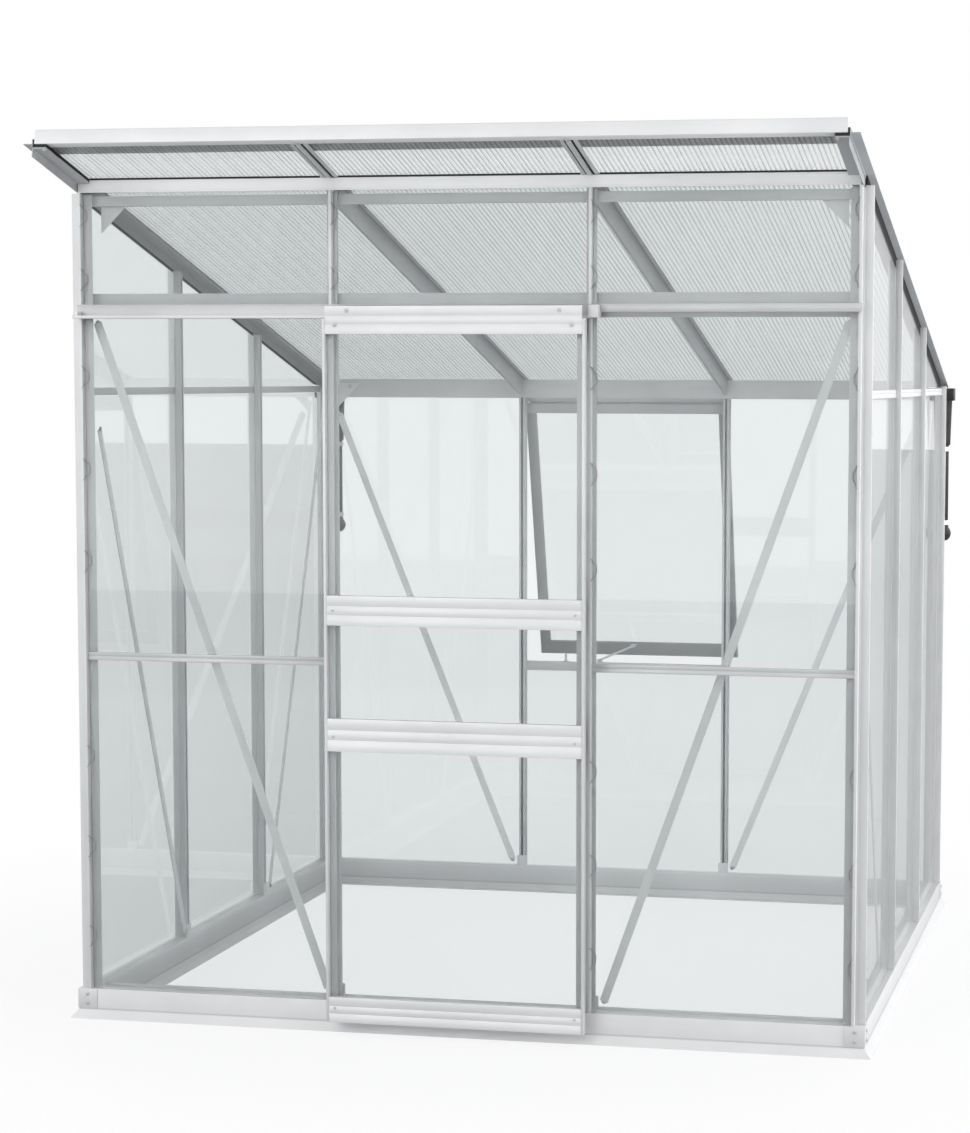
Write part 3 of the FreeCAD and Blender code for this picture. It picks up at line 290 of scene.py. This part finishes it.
def roof_rubber():
    """Seal that is black out in the weather and lighter grey where it faces the room.

    The greying starts behind the front wall and leaves out the strips under the verges.
    """
    front_wall, room, verge = -0.955, -0.925, 0.922
    room_side_grey = (0.30, 0.305, 0.31)
    material = moulded("roof seal rubber", (0.012, 0.012, 0.013), (0.022, 0.022, 0.023),
                       0.55, 0.8, fineness=160.0)
    tree = material.node_tree
    surface = tree.nodes["Principled BSDF"]
    place = axes(tree, on_object(tree))
    within = ranged(tree, place["Y"], From_Min=front_wall, From_Max=room)
    off_edge = maths(tree, "LESS_THAN", maths(tree, "ABSOLUTE", place["X"]), verge)
    black = surface.inputs["Base Color"].links[0].from_socket
    # Lighter grey on the room side, behind the front wall and away from the verges.
    greyed = blend(tree, maths(tree, "MULTIPLY", within, off_edge), black, room_side_grey)
    feed(tree, surface, Base_Color=greyed)
    return material


# Painted light and shade: MILL is the aluminium's own tone, and the copies below are lighter
# (lit rails, flat bars, sills) or darker (glazing rails, window frame, rafters, roof edges) to
# stand in for the light each part gets.
UPRIGHT = aluminium("aluminium upright", Z)
ACROSS = aluminium("aluminium across", X)
DIM = aluminium("aluminium glazing rails", X, (0.61, 0.615, 0.62), (0.51, 0.515, 0.52))
LIT_RAILS = aluminium("aluminium rails painted lighter", X, (0.81, 0.812, 0.815), (0.70, 0.705, 0.71))
BRACE = aluminium("aluminium flat bars", Z, (0.86, 0.865, 0.87), (0.76, 0.765, 0.77))
SILL_ACROSS = sill_metal("aluminium sill across", X)
SILL_DEEP = sill_metal("aluminium sill front to back", Y)
WINDOW = aluminium("aluminium window frame", Z, (0.56, 0.565, 0.57), (0.44, 0.445, 0.45))
DEEP = aluminium("aluminium front to back", Y)
SLOPE = aluminium("aluminium down the slope", Y, (0.62, 0.63, 0.64), (0.52, 0.53, 0.545),
                  pitch=ROOF_PITCH)
EDGE = aluminium("aluminium roof edge", Y, (0.44, 0.45, 0.46), (0.34, 0.35, 0.36),
                 pitch=ROOF_PITCH)
GLASS = glass("float glass", tone=0.914, ior=1.53, haze=0.3)
# Painted light: the right side's panes get a lighter tint and a low IOR so that whole wall
# reads brighter.
SIDE_GLASS = glass("float glass of the right side", tone=0.970, ior=1.06, haze=0.5)
SHEET = sheet_plastic()
RUBBER = roof_rubber()
BLACK = moulded("black pipe plastic", (0.014, 0.014, 0.015), (0.026, 0.026, 0.027), 0.32, 0.5)
WHITE = moulded("white nylon", (0.70, 0.70, 0.68), (0.80, 0.80, 0.78), 0.35, 0.55)
ZINC = aluminium("zinc plated steel", Z, (0.72, 0.73, 0.74), (0.58, 0.59, 0.61), metallic=0.6)
WIRE = aluminium("spring wire", Z, (0.50, 0.51, 0.52), (0.38, 0.39, 0.40), metallic=0.6)

FINISH = {
    UPRIGHT: ["corner_post_front_left", "corner_post_front_right", "corner_post_rear_left",
              "corner_post_rear_right", "door_jambs", "side_bars", "rear_bars",
              "door_stile_left", "door_stile_right", "base_corner_angles",
              "window_stay_bracket"],
    BRACE: ["braces_front", "braces_rear", "braces_sides", "gussets_and_foot_brackets"],
    DIM: ["front_glazing_rails", "transom_cover_rail"],
    SILL_ACROSS: ["base_sill_front", "base_sill_rear"],
    SILL_DEEP: ["base_sill_left", "base_sill_right"],
    WINDOW: ["window_stiles_and_bottom_rail"],
    ACROSS: ["front_cross_beams", "door_track", "window_sill_rail", "rear_eave_rail",
             "rear_gutter", "window_head_rail", "window_hinge_bar", "window_stay_arm",
             "track_end_stops"],
    LIT_RAILS: ["head_rail", "roof_front_edge", "door_top_rail", "door_middle_rails",
            "door_bottom_rail"],
    DEEP: ["eave_glazing_rails"],
    SLOPE: ["rafters_middle"],
    EDGE: ["rafters_end", "verges"],
    GLASS: ["glass_front", "glass_left", "glass_rear", "door_glass", "window_glass"],
    SIDE_GLASS: ["glass_right"],
    SHEET: ["roof_panels"],
    RUBBER: ["roof_seals"],
    BLACK: ["gutter_outlets", "downpipes"],
    WHITE: ["pipe_clips", "door_bottom_guides", "door_roller_left", "door_roller_right"],
    ZINC: ["frame_bolts", "door_screws", "door_roller_pins", "stay_pegs"],
    WIRE: ["glazing_clips"],
}
for material, names in FINISH.items():
    for name in names:
        nodes[name].data.materials.clear()
        nodes[name].data.materials.append(material)


# Modelling tools

RECORD = frame["record"]
BODY_OF = {name: body
           for body, names in RECORD["behaviour"]["bodies"].items() for name in names}


def clear():
    """Object mode with nothing selected."""
    if bpy.context.object and bpy.context.object.mode != "OBJECT":
        bpy.ops.object.mode_set(mode="OBJECT")
    bpy.ops.object.select_all(action="DESELECT")


def activate(piece):
    clear()
    piece.select_set(True)
    bpy.context.view_layer.objects.active = piece


def pick_top(piece):
    """Edit mode with only the faces selected that look straight up."""
    bpy.ops.object.mode_set(mode="EDIT")
    bpy.ops.mesh.select_mode(type="FACE")
    bpy.ops.mesh.select_all(action="DESELECT")
    bpy.ops.object.mode_set(mode="OBJECT")
    for face in piece.data.polygons:
        face.select = face.normal.z > 0.9
    bpy.ops.object.mode_set(mode="EDIT")


def bevelled(piece, width, segments=2, angle=40.0):
    """Bevels the edges that are sharper than the angle and smooths the rest."""
    activate(piece)
    edge = piece.modifiers.new("edge", "BEVEL")
    edge.width = width
    edge.segments = segments
    edge.limit_method = "ANGLE"
    edge.angle_limit = math.radians(angle)
    bpy.ops.object.modifier_apply(modifier="edge")
    bpy.ops.object.shade_smooth_by_angle(angle=math.radians(angle))
    return piece


def settled(piece):
    """Puts the object's place into its mesh."""
    activate(piece)
    bpy.ops.object.transform_apply(location=True, rotation=True, scale=True)
    return piece


def joined(pieces):
    clear()
    for piece in pieces:
        piece.select_set(True)
    bpy.context.view_layer.objects.active = pieces[0]
    if len(pieces) > 1:
        bpy.ops.object.join()
    return bpy.context.object


def spread(master, places):
    """Copies the master, each copy with its own mesh, to the places and joins them."""
    copies = []
    for matrix in places:
        copy = master.copy()
        copy.data = master.data.copy()
        copy.data.transform(matrix)
        if matrix.determinant() < 0:
            copy.data.flip_normals()
        bpy.context.scene.collection.objects.link(copy)
        copies.append(copy)
    bpy.data.objects.remove(master)
    return joined(copies)


def hand_in(piece, name, material, node):
    """Names a finished piece, gives it its material and lets it stand for a CAD node."""
    piece.name = name
    piece.data.name = name
    piece.data.materials.clear()
    piece.data.materials.append(material)
    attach(piece, BODY_OF[node])
    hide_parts(node)
    return piece


def facing(place, out, spin=0.0):
    """Matrix that takes local +Z to the direction out at a place, after a spin about it."""
    look = Vector(out).to_track_quat("Z", "Y").to_matrix().to_4x4()
    return Matrix.Translation(place) @ look @ Matrix.Rotation(spin, 4, "Z")


def mm(*values):
    return Vector([value / 1000 for value in values])


# Softened edges: a merged copy of an extrusion, plate or moulding gets a fine bevel, whose
# width is given in metres

SOFT_EDGED = {
    "roof_front_edge": 0.0005, "head_rail": 0.0004, "transom_cover_rail": 0.0005,
    "door_track": 0.0003, "door_top_rail": 0.0005, "door_middle_rails": 0.0005,
    "door_bottom_rail": 0.0005, "door_stile_left": 0.0004, "door_stile_right": 0.0004,
    "base_sill_front": 0.0005, "base_sill_rear": 0.0005, "base_sill_left": 0.0005,
    "base_sill_right": 0.0005, "base_corner_angles": 0.0005,
    "window_stiles_and_bottom_rail": 0.0005, "front_glazing_rails": 0.0004,
    "eave_glazing_rails": 0.0004, "window_sill_rail": 0.0004, "track_end_stops": 0.0008,
    "door_bottom_guides": 0.0012, "window_stay_arm": 0.0005, "rear_gutter": 0.0004,
    "corner_post_front_left": 0.0004, "corner_post_front_right": 0.0004,
    "corner_post_rear_left": 0.0004, "corner_post_rear_right": 0.0004, "door_jambs": 0.0004,
    "side_bars": 0.0004, "rear_bars": 0.0004, "verges": 0.0003, "rafters_end": 0.0004,
    "pipe_clips": 0.0004, "gutter_outlets": 0.0008, "downpipes": 0.0006,
    "door_roller_left": 0.0006, "door_roller_right": 0.0006, "door_roller_pins": 0.0006,
    "stay_pegs": 0.0006,
}


def softened(name, width):
    source = nodes[name]
    copy = bpy.data.objects.new(name + "_finished", source.data.copy())
    bpy.context.scene.collection.objects.link(copy)
    activate(copy)
    bpy.ops.object.mode_set(mode="EDIT")
    bpy.ops.mesh.select_all(action="SELECT")
    bpy.ops.mesh.remove_doubles(threshold=0.00001)
    bpy.ops.mesh.dissolve_limited(angle_limit=math.radians(0.6))
    bpy.ops.object.mode_set(mode="OBJECT")
    bevelled(copy, width)
    return hand_in(copy, name + "_finished", source.data.materials[0], name)


# Roof sheets: two thin skins with a row of ribs between them

def flat_bar(low, high, shave=0.0):
    """Slab between two corners; a shave takes its long edges off."""
    clear()
    bpy.ops.mesh.primitive_cube_add(size=1, location=(low + high) / 2, scale=high - low)
    bar = settled(bpy.context.object)
    if shave:
        bevelled(bar, shave, segments=1)
    return bar


def sheet_rib(x):
    """Web between the skins, with its left face at x."""
    return flat_bar(mm(x, RIB_ENDS[0], RIB_HEIGHT[0]),
                    mm(x + RIB_THICKNESS, RIB_ENDS[1], RIB_HEIGHT[1]))


def roof_sheets():
    walls = []
    for left, right in SHEET_SIDES:
        for under, over in SKINS:
            low, high = mm(left, SHEET_ENDS[0], under), mm(right, SHEET_ENDS[1], over)
            walls.append(flat_bar(low, high, SKIN_EDGE / 1000))
        walls.append(sheet_rib(left + SIDE_RIB_INSET))
        walls.append(sheet_rib(right - SIDE_RIB_INSET - RIB_THICKNESS))
        first = math.ceil((left + RIB_CLEARANCE[0]) / RIB_SPACING)
        last = math.floor((right - RIB_CLEARANCE[1]) / RIB_SPACING)
        rib = sheet_rib(first * RIB_SPACING + RIB_START)
        row = rib.modifiers.new("row", "ARRAY")
        row.use_relative_offset = False
        row.use_constant_offset = True
        row.constant_offset_displace = mm(RIB_SPACING, 0, 0)
        row.count = last - first + 1
        activate(rib)
        bpy.ops.object.modifier_apply(modifier="row")
        walls.append(rib)
    sheets = joined(walls)
    sheets.data.transform(ON_ROOF)
    return hand_in(sheets, "twin_wall_sheets", SHEET, "roof_panels")


# Places on the walls in millimetres: along the wall, inwards from the glass, above the floor

GLASS_PLANE = 937.0
INWARD = {"front": (0, 1, 0), "rear": (0, -1, 0), "left": (1, 0, 0), "right": (-1, 0, 0)}


def wall_place(wall, along, inset, z):
    reach = GLASS_PLANE - inset
    return {"front": mm(along, -reach, z), "rear": mm(along, reach, z),
            "left": mm(-reach, along, z), "right": mm(reach, along, z)}[wall]


# Nuts and screws: their places in millimetres, their own sizes in metres. No two nuts next to
# each other are turned alike.

BRACE_INSET = 22.0
BRACE_ENDS = {"front": ((902, 1678), (338, 92)), "rear": ((880, 1440), (338, 92))}
SIDE_BRACE_ENDS = ((-880, 1425), (-340, 92), (880, 1478), (340, 92))
GUSSETS = (("front", 39.1, 1975.0), ("rear", 22.2, 1533.0))
GUSSET_BOLTS = ((884, 12), (846, 10), (886, 50))
RAFTER_BOLTS = ((-313, 19.5, -3.9), (307, 19.5, -3.9), (-908, 8.0, -14.5), (908, 8.0, -14.5))
NUT_TURN = 0.7
SILL_FACE = 959
SILL_SCREW_ALONG = 935
SILL_SCREW_HEIGHTS = (35.5, 58.5)

DOOR_FACE = -1017.1
HANGER_SCREWS = ((-252, 1704), (252, 1704), (-281, 1671), (281, 1671))
RAIL_SCREW_HEIGHTS = (1009.0, 713.0, 68.0)
RAIL_SCREW_REACH = 290


def hexagon_nut():
    """Cropped nut on its washer, with the bolt's end standing out of it."""
    washer_radius, washer_height = 0.0063, 0.0011
    nut_radius, nut_height, bolt_end = 0.0051, 0.0022, 0.0008
    clear()
    bpy.ops.mesh.primitive_cylinder_add(vertices=20, radius=washer_radius, depth=washer_height,
                                        location=(0, 0, washer_height / 2))
    washer = bpy.context.object
    pick_top(washer)
    bpy.ops.mesh.inset(thickness=0.0012, depth=0.0002)
    clear()
    bpy.ops.mesh.primitive_cylinder_add(vertices=6, radius=nut_radius, depth=nut_height,
                                        location=(0, 0, washer_height + nut_height / 2))
    nut = bpy.context.object
    pick_top(nut)
    bpy.ops.mesh.inset(thickness=0.0019, depth=0.0)
    bpy.ops.mesh.extrude_region_move(TRANSFORM_OT_translate={"value": (0, 0, bolt_end)})
    bpy.ops.mesh.inset(thickness=0.0005, depth=0.0002)
    clear()
    both = joined([settled(washer), settled(nut)])
    return bevelled(both, 0.00018, segments=1, angle=35.0)


def pan_screw(radius, height):
    """Low domed head with a round recess."""
    clear()
    bpy.ops.mesh.primitive_cylinder_add(vertices=24, radius=radius, depth=height,
                                        location=(0, 0, height / 2))
    head = bpy.context.object
    pick_top(head)
    slope, crown, recess = (0.28, 0.22), (0.26, 0.06), (0.05, -0.45)
    for inwards, upwards in (slope, crown, recess):
        bpy.ops.mesh.inset(thickness=radius * inwards, depth=height * upwards)
    return bevelled(settled(head), height * 0.08, segments=1, angle=35.0)


def frame_nuts():
    """Nuts of the braces, gussets and rafters, and the screws of the base's corners."""
    spots = []
    for wall, ends in BRACE_ENDS.items():
        for along, z in ends:
            spots += [(wall, along, BRACE_INSET, z), (wall, -along, BRACE_INSET, z)]
    for wall in ("left", "right"):
        spots += [(wall, along, BRACE_INSET, z) for along, z in SIDE_BRACE_ENDS]
    for wall, inset, top in GUSSETS:
        for side in (-1, 1):
            spots += [(wall, side * along, inset, top - down) for along, down in GUSSET_BOLTS]
    places = [facing(wall_place(*spot), INWARD[spot[0]], count * NUT_TURN)
              for count, spot in enumerate(spots, start=1)]
    places += [ON_ROOF @ facing(mm(*spot), (0, 0, -1), 0.4) for spot in RAFTER_BOLTS]
    screws = []
    for side_x in (-1, 1):
        for side_y in (-1, 1):
            for z in SILL_SCREW_HEIGHTS:
                front = mm(side_x * SILL_SCREW_ALONG, side_y * SILL_FACE, z)
                flank = mm(side_x * SILL_FACE, side_y * SILL_SCREW_ALONG, z)
                screws += [facing(front, (0, side_y, 0)), facing(flank, (side_x, 0, 0))]
    both = [spread(hexagon_nut(), places), spread(pan_screw(0.0045, 0.0025), screws)]
    return hand_in(joined(both), "nuts_and_base_screws", ZINC, "frame_bolts")


def door_screws():
    """Screws of the door's hangers, and smaller ones at the ends of its rails."""
    large = [facing(mm(x, DOOR_FACE, z), (0, -1, 0), 0.3) for x, z in HANGER_SCREWS]
    small = [facing(mm(x, DOOR_FACE, z), (0, -1, 0), 0.9)
             for z in RAIL_SCREW_HEIGHTS for x in (-RAIL_SCREW_REACH, RAIL_SCREW_REACH)]
    both = [spread(pan_screw(0.005, 0.0022), large), spread(pan_screw(0.0032, 0.0014), small)]
    return hand_in(joined(both), "door_pan_screws", ZINC, "door_screws")


# Spring clips: one bent wire hooks over the edge of the bar's nose and bears on the pane. The
# route and the places are in millimetres; 1 or -1 is the side of the bar that a clip stands on.

WIRE_RADIUS = 0.0011
WIRE_ROUTE = ((1.4, 21.3, 25.0), (3.6, 21.6, 25.5), (5.6, 20.4, 24.5), (6.0, 13.0, 19.0),
              (7.0, 7.0, 15.5), (12.4, 5.6, 12.0), (14.0, 5.4, 5.0), (14.0, 5.4, -5.0),
              (12.4, 5.6, -12.0), (7.0, 7.0, -15.5), (6.0, 13.0, -19.0), (5.6, 20.4, -24.5),
              (3.6, 21.6, -25.5), (1.4, 21.3, -25.0))
WALL_TURN = {"front": 180.0, "rear": 0.0, "left": 90.0, "right": -90.0}
FRONT_CLIPS = (
    ((200.0, 420.0, 640.0, 1110.0, 1330.0, 1550.0),
     ((-930, -1), (-310, 1), (310, -1), (930, 1))),
    ((1780.0, 1930.0), ((-930, -1), (-310, -1), (310, -1), (930, 1))),
)
SIDE_CLIP_HEIGHTS = (200.0, 640.0, 1060.0, 1400.0)
SIDE_CLIP_BARS = (-930, -310, 310)


def spring_wire():
    """Clip beside a bar: x across the pane, y out of it, z up."""
    clear()
    bpy.ops.curve.primitive_nurbs_path_add()
    wire = bpy.context.object
    line = wire.data.splines[0]
    line.points.add(len(WIRE_ROUTE) - len(line.points))
    for point, bend in zip(line.points, WIRE_ROUTE):
        point.co = (*mm(*bend), 1)
    line.order_u = 3
    line.use_endpoint_u = True
    wire.data.resolution_u = 3
    wire.data.bevel_depth = WIRE_RADIUS
    wire.data.bevel_resolution = 1
    wire.data.use_fill_caps = True
    bpy.ops.object.convert(target="MESH")
    wire = settled(bpy.context.object)
    bpy.ops.object.shade_smooth_by_angle(angle=math.radians(60))
    return wire


def clip_place(wall, along, z, hand):
    """Matrix for a clip at a bar, mirrored where hand is -1."""
    turn = Matrix.Rotation(math.radians(WALL_TURN[wall]), 4, "Z")
    flip = Matrix.Diagonal((hand, 1, 1, 1))
    return Matrix.Translation(wall_place(wall, along, 0.0, z)) @ turn @ flip


def glazing_clips():
    places = []
    for heights, bars in FRONT_CLIPS:
        places += [clip_place("front", x, z, hand) for z in heights for x, hand in bars]
    for wall, hand in (("left", 1), ("right", -1)):
        places += [clip_place(wall, y, z, hand)
                   for z in SIDE_CLIP_HEIGHTS for y in SIDE_CLIP_BARS]
    return hand_in(spread(spring_wire(), places), "glazing_spring_clips", WIRE, "glazing_clips")


for name, width in SOFT_EDGED.items():
    softened(name, width)
roof_sheets()
frame_nuts()
door_screws()
glazing_clips()


# Camera, placed and aimed as the photograph was taken

PHOTO_WIDTH, PHOTO_HEIGHT = 970, 1133
FOCAL_LENGTH = 2778.6
VIEW_CENTRE = (628.9, 626.7)
SENSOR_WIDTH = 36.0
CAMERA_PLACE = (1.6826, -7.200, 1.5518)
CAMERA_TURNS = ((11.58, "Z"), (-5.12, "X"), (-0.19, "Y"), (90, "X"))


def camera():
    shot = bpy.data.cameras.new("camera")
    holder = bpy.data.objects.new("camera", shot)
    bpy.context.scene.collection.objects.link(holder)
    look = Matrix()
    for degrees, axis in CAMERA_TURNS:
        look = look @ Matrix.Rotation(math.radians(degrees), 4, axis)
    holder.matrix_world = Matrix.Translation(CAMERA_PLACE) @ look
    shot.sensor_fit = "HORIZONTAL"
    shot.sensor_width = SENSOR_WIDTH
    shot.lens = FOCAL_LENGTH / PHOTO_WIDTH * SENSOR_WIDTH
    shot.shift_x = (PHOTO_WIDTH / 2 - VIEW_CENTRE[0]) / PHOTO_WIDTH
    shot.shift_y = (VIEW_CENTRE[1] - PHOTO_HEIGHT / 2) / PHOTO_WIDTH
    shot.clip_end = 300
    bpy.context.scene.camera = holder


# Floor, world and lights

FLOOR_SIZE = 67.7
FLOOR_CENTRE = (0, 20.15, -0.0005)
LIGHT_SIZE = 4.0


def background_ray(tree, mirrored):
    """1 where the ray shows the background, less where metal or glass has mirrored it."""
    ray = add(tree, "ShaderNodeLightPath").outputs
    passed_on = maths(tree, "MAXIMUM", ray["Is Glossy Ray"], ray["Is Transmission Ray"])
    direct = maths(tree, "LESS_THAN", ray["Glossy Depth"], 0.5)
    weight = maths(tree, "MULTIPLY_ADD", direct, 1.0 - mirrored, mirrored)
    bounced = maths(tree, "MULTIPLY", passed_on, weight)
    return maths(tree, "MAXIMUM", ray["Is Camera Ray"], bounced)


def mixed(tree, factor, first, second, output):
    """Sends a mix of two shaders to the output node."""
    made = add(tree, "ShaderNodeMixShader", Fac=factor)
    plug(tree, made.inputs[1], first)
    plug(tree, made.inputs[2], second)
    feed(tree, tree.nodes[output], Surface=made.outputs["Shader"])


def studio_floor():
    """Pale floor: white as a background but for a soft shade round the house, and painted dark
    grey where panes and metal mirror it, a painted reflection.
    """
    bpy.ops.mesh.primitive_plane_add(size=FLOOR_SIZE, location=FLOOR_CENTRE)
    floor = bpy.context.object
    floor.name = "floor"
    material, tree, surface = shader("studio floor")
    ray = add(tree, "ShaderNodeLightPath").outputs
    # Painted reflection: where glass or metal mirrors the floor, it turns dark grey.
    feed(tree, surface, Roughness=0.6,
         Base_Color=blend(tree, maths(tree, "MINIMUM", ray["Glossy Depth"], 1.0),
                          (0.80, 0.81, 0.82), (0.14, 0.145, 0.15)))
    from_house = add(tree, "ShaderNodeMapping", Vector=on_object(tree),
                     Location=(0, FLOOR_CENTRE[Y], 0))
    reach = add(tree, "ShaderNodeVectorMath", {"operation": "LENGTH"},
                Vector=from_house.outputs["Vector"])
    fade = ranged(tree, reach.outputs["Value"], From_Min=1.35, From_Max=2.6, To_Min=0.85,
                  To_Max=1.0)
    glow = add(tree, "ShaderNodeEmission", Color=(1, 1, 1, 1), Strength=1.0)
    mixed(tree, maths(tree, "MULTIPLY", background_ray(tree, 0.04), fade),
          surface.outputs["BSDF"], glow.outputs["Emission"], "Material Output")
    floor.data.materials.append(material)


def studio_world():
    """White background and soft light, stronger from the front on what stands in the house."""
    world = bpy.data.worlds.new("studio")
    bpy.context.scene.world = world
    world.use_nodes = True
    tree = world.node_tree
    soft = tree.nodes["Background"]
    feed(tree, soft, Color=(0.985, 0.99, 1.0, 1), Strength=0.75)
    ray = add(tree, "ShaderNodeLightPath").outputs
    inside = maths(tree, "MULTIPLY", maths(tree, "MINIMUM", ray["Diffuse Depth"], 1.0),
                   ray["Is Transmission Ray"])
    aim = axes(tree, add(tree, "ShaderNodeTexCoord").outputs["Generated"])
    ahead = maths(tree, "MAXIMUM", maths(tree, "MULTIPLY", aim["Y"], -1.0), 0.0)
    extra = maths(tree, "MULTIPLY", inside, maths(tree, "MULTIPLY_ADD", ahead, 1.5, 0.35))
    white = add(tree, "ShaderNodeBackground", Color=(1, 1, 1, 1),
                Strength=maths(tree, "ADD", extra, 1.0))
    mixed(tree, background_ray(tree, 1.0), soft.outputs["Background"],
          white.outputs["Background"], "World Output")


def soft_light(name, place, aim, watts):
    """Square lamp aimed at a point, unseen in metal and through glass."""
    light = bpy.data.lights.new(name, "AREA")
    light.shape = "SQUARE"
    light.size = LIGHT_SIZE
    light.energy = watts
    holder = bpy.data.objects.new(name, light)
    bpy.context.scene.collection.objects.link(holder)
    holder.location = place
    look = Vector(aim) - Vector(place)
    holder.rotation_euler = look.to_track_quat("-Z", "Y").to_euler()
    holder.visible_glossy = False
    holder.visible_transmission = False


camera()
studio_floor()
studio_world()
soft_light("key", (-3.0, -7.5, 2.3), (0, 0, 1.0), 195)
soft_light("fill", (7.5, -0.5, 1.2), (0, 0, 0.9), 620)
soft_light("back", (1.5, 6.5, 5.5), (0, 0, 1.0), 130)
bpy.context.scene.view_settings.view_transform = "Standard"
